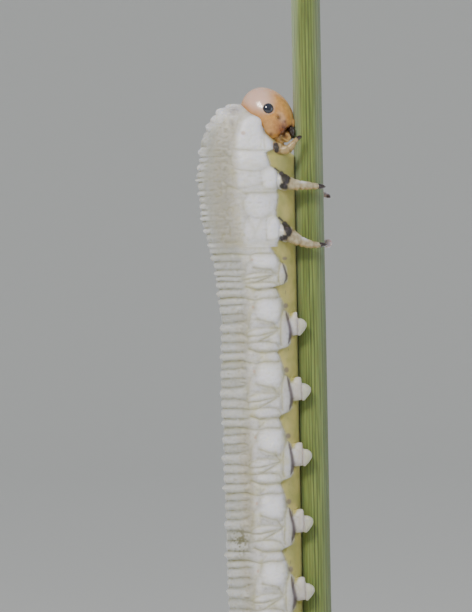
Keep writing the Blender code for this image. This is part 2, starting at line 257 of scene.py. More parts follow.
# The flank of an abdominal segment. Places are hundredths: 0 on the back and 100 on the belly as seen from
# the side, and 0 at the segment's front to 100 at its end. A swelling is its place, half sizes, tilt in
# degrees and height in hundredths; a crease is its width and depth in thousandths and the line it follows.
flank = {
    "height": 0.15, "edgeRadius": 0.17, "firstInset": 0.13, "creaseShare": 0.68,
    "edge": (
        (0, 731), (21, 729), (130, 765), (238, 803), (345, 820), (400, 870), (439, 885), (530, 895), (661, 900),
        (747, 905), (844, 895), (910, 860), (940, 800), (965, 750), (1000, 731),
    ),
    "swellings": (
        (62, 35, 20, 22, 0, 13), (62, 9, 15, 10, -5, 7), (42, 40, 10, 20, 0, 5), (50, 68, 21, 7, -6, 6),
        (47, 79, 18, 6, -12, 4), (70, 79, 8, 10, -35, 6), (58, 92, 19, 8, 0, 7), (81.5, 65, 7.5, 31, 0, 9),
    ),
    "creases": (
        (72, 70, ((2, 16), (14, 13), (29, 14), (36, 16), (47, 18), (56, 15), (71, 16), (77, 14))),
        (63, 50, ((46, 14), (51, 9), (53, 5), (56, -2))),
        (72, 80, ((46, 48), (58, 52), (67, 54), (71, 63), (75, 65))),
        (58, 70, ((32, 73), (36, 67), (45, 63), (56, 62), (68, 63), (75, 66))),
        (58, 70, ((33, 75), (47, 75), (61, 71), (68, 69), (75, 67))),
        (58, 90, ((48, 84), (56, 79), (65, 74), (70, 70))),
        (54, 50, ((36, 86), (44, 82), (48, 84))),
        (76, 90, ((80, 24), (81, 36), (78, 50), (77, 62), (75, 65))),
        (67, 90, ((75, 65), (77, 62), (77, 70), (77, 84), (78, 89))),
        (63, 70, ((37, 86), (47, 85), (58, 84), (71, 86), (75, 93))),
        (76, 100, ((36, 96), (47, 101), (56, 102), (73, 100), (77, 98))),
        (76, 100, ((36, -4), (47, 1), (56, 2), (73, 0), (77, -2))),
        (116, 50, ((47, 17), (45, 24), (44, 32), (38, 41), (36, 53), (33, 68), (35, 86))),
    ),
}
# The flank of the thorax: distance from the stem's axis and depth below the neck in hundredths, then the same
thorax = {
    "creaseShare": 0.24, "swellShare": 0.66,
    "edge": (
        (-100, -230), (74, -205), (137, -197), (178, -155), (209, -156), (227, -190), (263, -179), (285, -173),
        (299, -150), (335, -136), (376, -136), (396, -146), (416, -141), (452, -145), (483, -152), (510, -150),
        (528, -138), (564, -130), (604, -136), (626, -148), (653, -153),
    ),
    "swellings": (
        (-357, 40, 63, 40, -10, 5), (-255, 104, 62, 68, 0, 12), (-274, 171, 67, 42, 0, 9), (-178, 191, 32, 50, 0, 12),
        (-258, 257, 87, 47, 0, 12), (-264, 342, 76, 43, 0, 7), (-174, 339, 40, 50, 0, 17), (-242, 390, 90, 17, -4, 4),
        (-225, 459, 70, 60, 0, 10), (-237, 566, 60, 56, 0, 9), (-162, 566, 40, 60, 0, 18), (-215, 634, 74, 24, 0, 5),
    ),
    "creases": (
        (81, 60, ((-311, 3), (-285, 32), (-254, 64), (-220, 85), (-201, 105), (-197, 140))),
        (76, 110, ((-337, 206), (-297, 210), (-243, 216), (-199, 214), (-163, 220))),
        (63, 90, ((-196, 145), (-198, 177), (-194, 204), (-199, 214))),
        (143, 60, ((-344, 82), (-336, 116), (-328, 161), (-332, 202))),
        (99, 50, ((-353, 37), (-319, 48), (-300, 83), (-305, 123))),
        (108, 60, ((-339, 206), (-348, 251), (-339, 291), (-329, 332), (-325, 362), (-305, 386))),
        (67, 50, ((-205, 325), (-198, 303), (-174, 290), (-145, 299))),
        (67, 80, ((-202, 388), (-157, 389), (-131, 375))),
        (120, 40, ((-330, 282), (-273, 268), (-224, 284), (-184, 298))),
        (72, 120, ((-363, 371), (-335, 376), (-305, 392), (-291, 402), (-201, 404), (-126, 405))),
        (63, 60, ((-305, 387), (-265, 373), (-215, 364), (-195, 349))),
        (108, 60, ((-306, 407), (-297, 457), (-283, 512), (-249, 572), (-250, 602))),
        (72, 60, ((-177, 496), (-218, 528), (-234, 553), (-247, 582), (-250, 606))),
        (67, 50, ((-187, 549), (-178, 523), (-159, 514), (-129, 529))),
        (63, 80, ((-197, 616), (-170, 613), (-135, 604))),
        (110, 50, ((-365, 625), (-305, 621), (-285, 631), (-220, 628), (-171, 638), (-135, 642))),
    ),
}
feet = {
    "segments": (4, 5, 6, 7, 8, 9, 10, 12),
    "at": 0.61, "tailAt": 0.46, "tailInset": 0.16, "tailSize": 0.80, "firstShort": 0.13, "knobs": 0.014,
    "angle": 154, "halfAngle": 20, "halfHeight": 0.88,
    # from skirt to tip: share, x, outer and inner distance from the middle plane, half height, lift, squareness
    "stations": (
        (0.00, -1.06, 1.32, 0.40, 0.70, 0.00, 2.0), (0.10, -1.02, 1.25, 0.42, 0.60, 0.04, 2.1),
        (0.18, -0.97, 1.23, 0.45, 0.55, 0.08, 2.3), (0.26, -0.88, 1.27, 0.47, 0.53, 0.11, 2.5),
        (0.35, -0.76, 1.29, 0.50, 0.525, 0.13, 2.7), (0.43, -0.65, 1.27, 0.54, 0.525, 0.14, 2.8),
        (0.50, -0.56, 1.21, 0.60, 0.515, 0.14, 3.0),
        (0.54, -0.525, 1.15, 0.68, 0.47, 0.11, 2.8), (0.58, -0.53, 1.12, 0.74, 0.41, 0.05, 2.5),
        (0.62, -0.50, 1.15, 0.77, 0.385, -0.01, 2.4), (0.70, -0.42, 1.22, 0.80, 0.39, -0.02, 2.2),
        (0.79, -0.32, 1.25, 0.83, 0.335, 0.02, 2.1), (0.88, -0.20, 1.22, 0.88, 0.225, 0.06, 2.0),
        (0.95, -0.12, 1.15, 0.96, 0.115, 0.08, 2.0), (1.00, -0.095, 1.06, 1.06, 0.00, 0.07, 2.0),
    ),
}

lengths = np.array([row[0] for row in body["segments"]])
fronts = neckTop - np.concatenate([[0.0], np.cumsum(lengths)[:-1]])
rears = fronts - lengths
middles = (fronts + rears) / 2


def readColumn(height, column):
    return np.interp(-height, -middles, [row[column] for row in body["segments"]])


def collarSections(place):
    drop = place ** collar["spread"]
    arch = (1 - (1 - drop) ** collar["arch"][0]) ** collar["arch"][1]
    backX = -(collar["rimBack"] + (collar["back"] - collar["rimBack"]) * arch)
    backZ = neckTop - lengths[0] * drop
    nearX = -(collar["rimThroat"] + (body["belly"] - collar["rimThroat"]) * place)
    nearZ = neckTop - collar["throatDrop"] + (rears[0] - neckTop + collar["throatDrop"]) * place
    width = collar["rimWidth"] + (collar["width"] - collar["rimWidth"]) * (1 - (1 - place) ** 2)
    return backX, backZ, nearX, nearZ, width


def levelSections(height):
    back, near, width = readColumn(height, 1), np.full(len(height), body["belly"]), readColumn(height, 2)
    share = rump["end"] * np.clip((fronts[-1] - height) / lengths[-1], 0, 1)
    arch = (1 - share ** rump["arch"][0]) ** rump["arch"][1]
    near = near + rump["lift"] * share * share
    back = near + (back - near) * arch
    return -back, height, -near, height, width * arch


def columnAngles():
    # Closer together over the flanks and the feet than over the back and the belly
    fine = np.linspace(0, 180, 2001)
    weight = 0.75 + 0.5 * smooth(fine, 50, 75) + 0.3 * smooth(fine, 110, 130) + 1.1 * gauss(fine - 155, 15)
    weight = weight - 0.6 * smooth(fine, 168, 174)
    total = np.concatenate([[0.0], np.cumsum((weight[1:] + weight[:-1]) / 2)])
    half = np.interp(np.linspace(0, total[-1], body["columns"] // 2 + 1), total, fine)
    return np.concatenate([half, 360 - half[-2:0:-1]])


def swellField(u, v, swellings, unitU, unitV):
    # Height of broad swellings that blend where they meet
    height = np.zeros(u.shape)
    for middleU, middleV, halfU, halfV, tilt, top in swellings:
        turn = math.radians(tilt)
        du, dv = u - middleU * unitU, v - middleV * unitV
        p = (du * math.cos(turn) + dv * math.sin(turn)) / (halfU * unitU)
        q = (dv * math.cos(turn) - du * math.sin(turn)) / (halfV * unitV)
        dome = np.clip(1 - np.abs(p) ** 2.4 - np.abs(q) ** 2.4, 0, None) ** 0.7
        height = np.maximum(height, 0.01 * top * dome)
    return height


def lineDistance(u, v, path, unitU=1.0, unitV=1.0):
    # Distance of each point from the line through a path's corners
    nearest = np.full(u.shape, 9.0)
    corners = np.array(path, float) * (unitU, unitV)
    for a, b in zip(corners, corners[1:]):
        run = b - a
        share = np.clip(((u - a[0]) * run[0] + (v - a[1]) * run[1]) / (run @ run), 0, 1)
        nearest = np.minimum(nearest, np.hypot(u - a[0] - share * run[0], v - a[1] - share * run[1]))
    return nearest


def creaseField(u, v, creases, unitU, unitV):
    # Depth of sharp creases that run along lines
    depth = np.zeros(u.shape)
    for width, deep, path in creases:
        depth = np.maximum(depth, 0.001 * deep * np.exp(-lineDistance(u, v, path, unitU, unitV) / (0.001 * width)))
    return depth


def blur(field, count):
    # A soft copy of a field over the grid, wrapped round the body
    for _ in range(count):
        field = (field + np.roll(field, 1, 1) + np.roll(field, -1, 1)) / 3
        padded = np.concatenate([field[:1], field, field[-1:]])
        field = (padded[:-2] + padded[1:-1] + padded[2:]) / 3
    return field


def squared(angle, power):
    # Cosine and sine of an angle, drawn out towards a square
    return tuple(np.sign(wave) * np.abs(wave) ** power for wave in (np.cos(angle), np.sin(angle)))


angles = columnAngles()
cosRound, sinRound = squared(np.radians(angles), 2.0 / body["roundness"])
segmentOf, placeOf = [], []
for index, length in enumerate(lengths):
    count = int(round((length if index else body["collarRun"]) / body["rowStep"]))
    segmentOf += [index] * count
    placeOf += list(np.arange(count) / count)
segmentOf, placeOf = np.array(segmentOf + [len(lengths) - 1]), np.array(placeOf + [1.0])
rowHeight = fronts[segmentOf] - lengths[segmentOf] * placeOf
sections = np.array(levelSections(rowHeight))
inCollar = segmentOf == 0
sections[:, inCollar] = collarSections(placeOf[inCollar])
backX, backZ, nearX, nearZ, halfWidth = sections
rows, columns = len(segmentOf), len(angles)


def overGrid(values):
    return np.array(np.broadcast_to(values, (rows, columns)))


across = overGrid((1 - cosRound) / 2)  # 0 on the back to 1 on the belly, as seen from the side
place = overGrid(placeOf[:, None])  # 0 at a segment's front to 1 at its end
segment = overGrid(segmentOf[:, None])
onThorax, onCollar = segment < 3, segment == 0


def skinPoints(push):
    # Points of the skin, pushed out in the plane of each ring, and kept off the stem
    middleX, middleZ = (backX + nearX) / 2, (backZ + nearZ) / 2
    depth = np.hypot(backX - nearX, backZ - nearZ) / 2
    toBackX, toBackZ = (backX - nearX) / (2 * depth), (backZ - nearZ) / (2 * depth)
    # Over the back the push is square to the skin, over the flank it is sideways, so that the traced lines stay put
    sideways = smooth(across, 0.28, 0.5)
    reach = depth[:, None] * cosRound + push * (1 - sideways) * cosRound
    x = middleX[:, None] + toBackX[:, None] * reach
    z = middleZ[:, None] + toBackZ[:, None] * reach
    lean = sideways * np.sign(sinRound) * np.maximum(np.abs(sinRound), 0.9 * smooth(np.abs(sinRound), 0, 0.3))
    y = -(halfWidth[:, None] * sinRound + push * ((1 - sideways) * sinRound + lean))
    limit = -np.sqrt(np.clip(body["clearance"] ** 2 - y * y, 0, None))
    x = np.where(np.abs(y) < body["clearance"], np.minimum(x, limit), x)
    return np.stack([x, y, z], axis=-1)


plain = skinPoints(np.zeros((rows, columns)))
drop = neckTop - plain[..., 2]  # depth below the neck


def skinNoise(size, seed, stretch=1.0):
    return softNoise(plain.reshape(-1, 3) * (1, 1, stretch), size, seed).reshape(rows, columns)


warpA, warpB, wide = skinNoise(0.55, 11), skinNoise(0.60, 12), skinNoise(1.7, 13)
wrinkles, grit, lumps = skinNoise(0.22, 14, 2.2), skinNoise(0.085, 15), skinNoise(0.36, 18)
warts = np.clip(skinNoise(0.16, 16, 0.8) - 0.15, 0, 1)

# Small folds over the back: rounded ridges with sharp creases, two of them pointed on each segment
warpedPlace = np.clip(place + (0.010 * warpA + 0.012 * wide) * smooth(across, 0.02, 0.3), 0, 0.9999)
folds, foldCrease = np.zeros((2, rows, columns))
foldRandom = np.random.RandomState(17)
for index, (*_, count) in enumerate(body["segments"]):
    here = segment == index
    value, side = warpedPlace[here], across[here]
    if count == 7:  # the traced folds
        ends = np.array([np.interp(side, body["foldPlaces"], line) for line in body["foldEnds"]])
    else:
        jitter = np.concatenate([[0.0], foldRandom.uniform(-0.22, 0.22, count - 1), [0.0]]) / count
        ends = np.repeat((np.linspace(0, 1, count + 1) + jitter)[:, None], len(value), axis=1)
    number = np.clip((value[None, :] >= ends).sum(axis=0) - 1, 0, count - 1)
    pick = np.arange(len(value))
    part = np.abs(2 * (value - ends[number, pick]) / (ends[number + 1, pick] - ends[number, pick]) - 1)
    pointed = np.isin(number, body["pointedFolds"]) if count == 7 else number % 2 == 1
    tall = foldRandom.uniform(0.75, 1.25, count)[number]
    folds[here] = tall * np.where(pointed, body["pointedShare"] * (1 - part ** 1.2) ** 0.9, (1 - part ** 2.2) ** 0.8)
    foldCrease[here] = smooth(part, 0.72, 1)
# The folds are lower down the sides, most of all on the thorax, which has smooth sides up to the abdomen
sleek = fade(drop, 4.9, 9.2)
foldShare = 1 - 0.5 * smooth(across, 0.02, 0.15) - 0.5 * smooth(across, 0.26, 0.40)
foldShare *= (1 - 0.92 * sleek * smooth(across, 0.012, 0.085)) * (1 - 0.3 * onCollar)
behindHead = smooth(place, 0.02, 0.12) * (1 - 0.75 * smooth(across, 0.03, 0.14) * fade(place, 0.5, 1))
foldShare *= np.where(onCollar, behindHead, 1)
push = body["foldHeight"] * (folds - 0.6) * foldShare

# Flank: a raised shelf with swellings on it and creases through it, and a rounded lower edge
swell, crease, edgeGap = np.zeros((3, rows, columns))  # edgeGap is the distance inside the shelf's lower edge
for index in range(3, 13):
    here = segment == index
    depth = readColumn(middles[index:index + 1], 1)[0] - body["belly"]
    u = across[here] * depth + 0.035 * warpA[here]
    v = place[here] * lengths[index] + 0.035 * warpB[here]
    edge = np.interp(v / lengths[index], *(0.001 * np.array(flank["edge"]).T)) * depth
    edgeGap[here] = edge - flank["firstInset"] * (index == 3) - u
    if index < 12:
        swell[here] = swellField(u, v, flank["swellings"], 0.01 * depth, 0.01 * lengths[index])
        crease[here] = creaseField(u, v, flank["creases"], 0.01 * depth, 0.01 * lengths[index])
u, v = (plain[..., 0] + 0.035 * warpA)[onThorax], (drop + 0.035 * warpB)[onThorax]
edgeGap[onThorax] = np.interp(v, *(0.01 * np.array(thorax["edge"]).T)) - u
swell[onThorax] = thorax["swellShare"] * swellField(u, v, thorax["swellings"], 0.01, 0.01)
crease[onThorax] = creaseField(u, v, thorax["creases"], 0.01, 0.01)
inward = np.clip(edgeGap / flank["edgeRadius"], 0, 1)
push += flank["height"] * np.sqrt(1 - (1 - inward) ** 2) * smooth(across, 0.26, 0.46)
push += swell * smooth(edgeGap, -0.02, 0.12) * smooth(across, 0.2, 0.34)
push -= np.where(onThorax, thorax["creaseShare"], flank["creaseShare"]) * crease * smooth(edgeGap, -0.3, 0)

# Fine relief, weaker on the belly, and blunt warts along the folds of the back
ventral = smooth(-edgeGap, -0.05, 0.10)
onBack = fade(across, 0.24, 0.40)
relief = body["lumps"] * lumps * smooth(across, 0.26, 0.4) + body["wrinkles"] * wrinkles
relief += (body["grit"] + body["backGrit"] * onBack) * grit
push += relief * (1 - 0.6 * ventral) + body["warts"] * warts * onBack * np.clip(folds, 0, 1)
# No hard step where the thorax meets the abdomen
even = push.copy()
for _ in range(40):
    even[1:-1] = (even[:-2] + even[1:-1] + even[2:]) / 3
border = gauss(rowHeight - rears[2], 0.16)[:, None]
push = push * (1 - border) + even * border
points = skinPoints(push)
# The collar's front edge laps over the cheek in one rounded lobe
lobe = collar["lobe"] * gauss(across - collar["lobeAt"], 0.13) * onCollar * fade(place, 0, 0.34)
points += lobe[..., None] * (1, 0, 0.4)

# Feet: the skin inside a patch on each side is drawn out into a foot beside the stem
stations = np.array(feet["stations"])
footMask, footOuter = np.zeros((2, rows, columns))
for index in feet["segments"]:
    onTail = index == 12
    size = feet["tailSize"] if onTail else 1
    height = fronts[index] - lengths[index] * (feet["tailAt"] if onTail else feet["at"])
    for side, centre in ((-1, feet["angle"]), (1, 360 - feet["angle"])):
        u = overGrid((angles[None, :] - centre) / feet["halfAngle"] * -side)
        v = (plain[..., 2] - height) / (feet["halfHeight"] * size)
        inside = np.hypot(u, v) < 1
        u, v = u[inside], v[inside]
        share = 1 - np.hypot(u, v)
        footX, outer, nearer, tall, lift, square = (np.interp(share, stations[:, 0], row) for row in stations.T[1:])
        if index == 4:
            footX = footX - feet["firstShort"] * smooth(share, 0.3, 0.6)
        if onTail:
            outer, nearer = outer - feet["tailInset"], nearer - feet["tailInset"]
        direction = np.arctan2(v, u)
        boxCos, boxSin = squared(direction, 2 / square)
        outward = np.clip(-np.cos(direction), 0, 1)
        # Round the skirt, all but the outer side keeps the belly's own place
        keep = fade(share, 0.05, 0.40) * (1 - outward)
        footX = footX * (1 - keep) + points[inside][:, 0] * keep
        footY = side * ((outer + nearer) / 2 - boxCos * (outer - nearer) / 2)
        target = np.stack([footX, footY, height + (lift + boxSin * tall) * size], axis=-1)
        mix = smooth(share, 0, 0.20)[:, None]
        points[inside] = points[inside] * (1 - mix) + target * mix
        knobs = feet["knobs"] * softNoise(target, 0.14, 19) * smooth(share, 0.2, 0.5)
        points[inside] += knobs[:, None] * (1, side, 0.5)
        footMask[inside] = share
        # Above its rim the pedestal is as thin-skinned as the belly
        footOuter[inside] = outward - 0.7 * smooth(np.sin(direction), 0.2, 0.7)

# Dark plates at the root of each leg, partly on the skin: half width, and a line in distance from the stem's axis
# and depth below the neck
plates = {
    "front": ((0.125, (-1.46, 1.90), (-1.42, 2.15)),),
    "middle": (
        (0.06, (-1.52, 2.95), (-1.34, 3.08)), (0.125, (-1.24, 3.16), (-1.12, 3.34)),
        (0.175, (-1.10, 3.35), (-1.03, 3.52)), (0.12, (-1.02, 3.40), (-0.94, 3.40)),
        (0.13, (-1.23, 3.74), (-1.08, 3.79)),
    ),
    "hind": (
        (0.065, (-1.38, 5.15), (-1.22, 5.30)), (0.14, (-1.14, 5.42), (-1.04, 5.60)),
        (0.175, (-1.04, 5.60), (-0.96, 5.76)), (0.115, (-0.97, 5.80), (-0.97, 5.91)),
        (0.135, (-1.25, 6.07), (-1.12, 6.03)),
    ),
}


def plateMask(points, names, noise):
    x, y, depth = points[..., 0], points[..., 1], neckTop - points[..., 2]
    mask = np.zeros(x.shape)
    for halfWidth, *path in (plate for name in names for plate in plates[name]):
        gap = lineDistance(x, depth, path) + noise - halfWidth
        mask = np.maximum(mask, fade(gap, -0.045, 0.025))
    return mask * (np.abs(y) > 0.85)


# Masks for the skin's colours. Places are distance from the stem's axis and depth below the segment's front;
# round marks have half sizes too.
marks = {
    "streak": ((1.10, -1.15), (1.45, -1.07), (1.75, -1.01), (2.05, -0.96), (2.3, -0.98), (2.6, -1.08)),
    "streakWidth": ((1.06, 0.001), (1.25, 0.06), (1.6, 0.085), (2.1, 0.105), (2.4, 0.085), (2.64, 0.001)),
    "spot": (-1.16, 0.82, 0.13, 0.15), "spiracle": (-2.61, 0.86, 0.07, 0.10),
    # these three lie at depths below the neck
    "breath": (-2.90, 1.36, 0.12, 0.10), "smudge": (-3.40, 19.58, 0.40, 0.62),
    "stains": ((-3.30, 0.31, 0.30, 0.20, 0.9), (-3.42, 0.88, 0.09, 0.135, 0.7)),
}


def markReach(x, depth, middleX, middleDepth, halfX, halfDepth):
    return np.hypot((x - middleX) / halfX, (depth - middleDepth) / halfDepth)


skinX, skinDrop = points[..., 0], neckTop - points[..., 2]
# Painted shade: where the skin lies below a blurred copy of itself, in its hollows, the colour is darkened
hollowShade = (blur(push, 4) - push) / 0.035
streak, spot, spiracle = np.zeros((3, rows, columns))
for index in range(3, 12):
    here = segment == index
    x, down = skinX[here] + 0.02 * warpA[here], (fronts[index] - points[here][:, 2]) / lengths[index] * 2.96
    edgeX, reach = (np.interp(down, *np.array(marks[key]).T) for key in ("streak", "streakWidth"))
    if index == 3:
        edgeX, reach = edgeX - flank["firstInset"], 0.6 * reach
    streak[here] = fade(np.abs(x - edgeX) / reach, 0.3, 1.4) * (np.abs(points[here][:, 1]) > 0.75)
    spot[here] = fade(markReach(x, down, *marks["spot"]), 0.5, 1.15)
    spiracle[here] = fade(markReach(x, down, *marks["spiracle"]), 0.5, 1.1)
spiracle[onThorax] = fade(markReach(plain[..., 0], drop, *marks["breath"]), 0.5, 1.2)[onThorax]

# The band between back and flank is beige, its own tone and painted shade in the groove where the back's folds end;
# the lower edge of the abdomen's flank is beige too
beige = smooth(across, 0.14, 0.26) * fade(across, 0.34, 0.42) * smooth(wide + 0.5 * warpA, -0.5, 0.6)
beige = np.maximum(beige, 0.75 * onThorax * smooth(across, 0.05, 0.2) * fade(across, 0.36, 0.44))
lowBand = ~onThorax * (segment < 12) * smooth(across, 0.78, 0.85) * (1 - ventral)
beige = np.maximum(beige, 0.6 * lowBand * smooth(wide + warpA, -0.8, 0.5))
inner = 0.14 * np.minimum(footOuter, 0)
venter = ventral * fade(footMask - 0.22 * fade(footOuter, 0.3, 0.8) + inner, 0.02, 0.12)
lines = np.clip(crease / 0.10, 0, 1) * (1 - ventral) * np.where(onThorax, 0.65, 1)
# Creases are tinted by the gut showing through thin skin and by painted shade in the hollows
creaseTintAndShade = np.maximum(0.6 * hollowShade, np.maximum(0.26 * foldCrease * foldShare, 0.75 * lines))
# Wax lies thick on swellings, on the collar and along the ridges of the back; the whiter ridge tops are also a painted
# highlight, and the whiter collar is also painted light, standing in for the stronger light near the top of the body
waxAndPaintedLight = np.where(onThorax, np.clip(swell / 0.10, 0, 1) ** 0.7, 0.85 * np.clip(swell / 0.13, 0, 1) ** 1.5)
waxAndPaintedLight *= 1 - 0.6 * ~onThorax * smooth(across, 0.72, 0.78)
ridges = np.where(onThorax, 0.45 + 0.25 * wrinkles, 0.35) * (1 - 0.85 * sleek * smooth(across, 0.02, 0.11))
for more in (
    0.9 * onCollar * smooth(across, 0.25, 0.45) * (1 - ventral),
    0.7 * onCollar * fade(drop + 0.15 * warpA, 0.35, 1.2),
    ridges * np.clip(folds, 0, 1) ** 2.5 * fade(across, 0.25, 0.38),
    sleek * (1 - ventral) * (0.10 + 0.34 * smooth(wide + 0.6 * warpA, -0.3, 0.8)),
):
    waxAndPaintedLight = np.maximum(waxAndPaintedLight, more)
stains = [top * gauss(markReach(skinX, drop, *mark), 1) for *mark, top in marks["stains"]]
soil = np.clip(1.3 * gauss(markReach(skinX, drop, *marks["smudge"]), 1), 0, 1)
masks = {
    "crease": (1 - 0.7 * border) * np.clip(creaseTintAndShade, 0, 1),
    "venter": venter, "streak": streak, "spot": spot, "spiracle": spiracle, "beige": beige, "waxAndPaintedLight": waxAndPaintedLight,
    "foot": smooth(footMask + inner, 0.25, 0.40), "pad": smooth(footMask, 0.60, 0.72),
    "back": fade(across, 0.26, 0.40) * np.where(onCollar, smooth(drop, 0.5, 1.5), 1),
    "plate": plateMask(np.stack([skinX, points[..., 1], plain[..., 2]], axis=-1), plates, 0.02 * warpB) * onThorax,
    "smudge": (points[..., 1] < 0) * soil * smooth(grit + 0.8 * warpA + 0.5 * foldCrease, -0.15, 0.4),
    "stain": stains[0] + stains[1] * (warpA > -0.6),
}

# Close the neck with a few rings turned in behind the head, and the rump with a tip
inner = []
for shrink, sink in ((0.25, 0.48), (0.55, 0.42), (0.80, 0.28), (0.93, 0.10)):
    middle = points[0].mean(axis=0)
    inner.append(middle + (points[0] - middle) * shrink - np.array([0.3, 0, 1]) * sink)
tips = [inner[0].mean(axis=0), points[-1].mean(axis=0) - np.array([0, 0, rump["tip"]])]
allPoints = np.concatenate([np.concatenate([inner, points]).reshape(-1, 3), tips])
for key, values in masks.items():
    masks[key] = np.concatenate([np.repeat(values[:1], len(inner), axis=0).ravel(), values.ravel(), [0, 0]])
print("skin mesh:", len(allPoints), "points")

# Larval skin, soft and moist under a layer of white wax: milky, scattering light a few tenths of a millimetre deep,
# with the yellow-green of the gut and fat showing through the thin skin of the creases, where painted shade also
# darkens the hollows.
skinLook = {
    "wax": "#d3d3cf", "lilac": "#c6c5cf", "cream": "#c9c6a6", "granule": "#a9a89f",
    "belly": "#c0b568", "gut": "#a3a052",
    # The crease layer is partly painted shade in the hollows, and the whitest wax layer is partly painted highlight
    # and light
    "under": (
        ("back", "#92948b", 0.74), ("waxAndPaintedLight", "#f8f8ff", 0.85), ("beige", "#aba085", 0.46), ("crease", "#a09a54", 0.85),
    ),
    "over": (
        ("foot", "#cac2bd", 0.62), ("pad", "#adb19c", 0.58), ("streak", "#54454a", 0.84), ("spot", "#6a5a60", 0.70),
        ("spiracle", "#bf9170", 0.5), ("stain", "#8d8790", 0.7), ("smudge", "#5f5c2c", 0.75),
        ("plate", "#2e222a", 0.92),
    ),
}
skinMaterial, tree, shader, coords = startMaterial("larva skin, wax bloomed", {
    "Roughness": 0.38, "IOR": 1.42, "Subsurface Weight": 0.8, "Subsurface Scale": 0.0005,
    "Subsurface Radius": (1.0, 0.9, 0.6), "Sheen Weight": 0.1, "Sheen Roughness": 0.5,
})
# Wax lies unevenly in patches about a millimetre wide, and the cream of the fat shows between them
patches = addNode(tree, "TexNoise", {"Scale": 900, "Detail": 3, "Roughness": 0.55, "Vector": coords})
fat = addNode(tree, "TexNoise", {"Scale": 1700, "Detail": 3, "Roughness": 0.6, "Vector": coords})
fatShare = addNode(tree, "MapRange", {"From Min": 0.48, "From Max": 0.72, "To Max": 0.8, "Value": fat})
# Wax granules are a few hundredths of a millimetre across and sit in clumps of a tenth
granules = addNode(tree, "TexNoise", {"Scale": 16000, "Detail": 2, "Roughness": 0.6, "Vector": coords})
clumps = addNode(tree, "TexNoise", {"Scale": 6500, "Detail": 3, "Roughness": 0.65, "Vector": coords})
clumpShare = addNode(tree, "MapRange", {"From Min": 0.50, "From Max": 0.70, "To Max": 0.55, "Value": clumps})
# The thin skin of the belly lets the green of the gut through in soft clouds
gut = addNode(tree, "TexNoise", {"Scale": 1300, "Detail": 2, "Roughness": 0.5, "Vector": coords})
gutShare = addNode(tree, "MapRange", {"From Min": 0.36, "From Max": 0.64, "Value": gut})
belly = paintLayers(tree, skinLook["belly"], (gutShare, skinLook["gut"], 1))
colour = paintLayers(
    tree, skinLook["wax"], (patches, skinLook["lilac"], 1), (fatShare, skinLook["cream"], 1),
    (clumpShare, skinLook["granule"], 1), *skinLook["under"], ("venter", belly, 0.95), *skinLook["over"],
)
wax = addNode(tree, "Math", {"operation": "ADD", 0: granules, 1: clumps})
bump = addNode(tree, "Bump", {"Strength": 0.5, "Distance": 0.000014, "Height": wax})
setNode(tree, shader, {"Base Color": colour, "Normal": bump})

bodyNodes = ["prothorax", "mesothorax", "metathorax"] + [f"abdomen_{number}" for number in range(1, 11)]
bodyNodes += [f"proleg_{number}_{word}" for number in (2, 3, 4, 5, 6, 7, 8, 10) for word in words.values()]
addPiece("body_skin", (allPoints, gridFaces(rows + len(inner), columns)), skinMaterial, bodyNodes, masks)
print("skin done")


# Shapes for the small pieces, each as points and faces

def tubeMesh(line, radii, sides, flatten=1.0, guide=(0, 0, 1)):
    # A closed tube along points, with a radius for each and a tip at both ends
    tangents = np.gradient(line, axis=0)
    tangents /= np.linalg.norm(tangents, axis=1)[:, None]
    up = guide - tangents * (tangents @ guide)[:, None]
    up /= np.linalg.norm(up, axis=1)[:, None]
    turns = circle(sides)[None, :, None]
    ring = np.cos(turns) * np.cross(tangents, up)[:, None] + flatten * np.sin(turns) * up[:, None]
    points = line[:, None] + radii[:, None, None] * ring
    return np.concatenate([points.reshape(-1, 3), line[[0, -1]]]), gridFaces(len(line), sides)


def curveThrough(corners, count):
    # A smooth curve through corners, even in length
    corners = np.asarray(corners, float)
    padded = np.concatenate([[2 * corners[0] - corners[1]], corners, [2 * corners[-1] - corners[-2]]])
    t = np.linspace(0, 1, 40, endpoint=False)[:, None]
    fine = np.concatenate([
        0.5 * (2 * b + (c - a) * t + (2 * a - 5 * b + 4 * c - d) * t * t + (3 * b - a - 3 * c + d) * t ** 3)
        for a, b, c, d in zip(padded, padded[1:], padded[2:], padded[3:])
    ] + [corners[-1:]])
    length = np.concatenate([[0], np.cumsum(np.linalg.norm(np.diff(fine, axis=0), axis=1))])
    return np.array([np.interp(np.linspace(0, length[-1], count), length, values) for values in fine.T]).T


def latheMesh(profile, axisPoint, axis, sides):
    # A body turned round an axis, from radius and height pairs whose first and last radius are zero
    axis = np.array(axis) / np.linalg.norm(axis)
    side = np.cross(axis, (0.31, 0.22, 0.93))
    side /= np.linalg.norm(side)
    turns = circle(sides)
    ring = np.outer(np.cos(turns), side) + np.outer(np.sin(turns), np.cross(axis, side))
    rings = [axisPoint + axis * height + ring * radius for radius, height in profile[1:-1]]
    tips = [axisPoint + axis * profile[end][1] for end in (0, -1)]
    return np.concatenate(rings + [tips]), gridFaces(len(rings), sides)


def ballPoints(rings, sides):
    # Points of a ball of radius 1, ring after ring along its first axis, then the two tips
    long, turns = np.linspace(0, math.pi, rings + 2)[1:-1, None], circle(sides)
    ball = np.broadcast_arrays(-np.cos(long), np.sin(long) * np.cos(turns), np.sin(long) * np.sin(turns))
    return np.concatenate([np.stack(ball, axis=-1).reshape(-1, 3), [(-1, 0, 0), (1, 0, 0)]])


def joinMeshes(shapes):
    points, faces, start = [], [], 0
    for partPoints, partFaces in shapes:
        points.append(partPoints)
        faces += [[start + v for v in face] for face in partFaces]
        start += len(partPoints)
    return np.concatenate(points), faces


# Head capsule: an egg tipped forward, its long axis from the crown to the mouth. Places on it are along that
# axis, to the front and to the side.

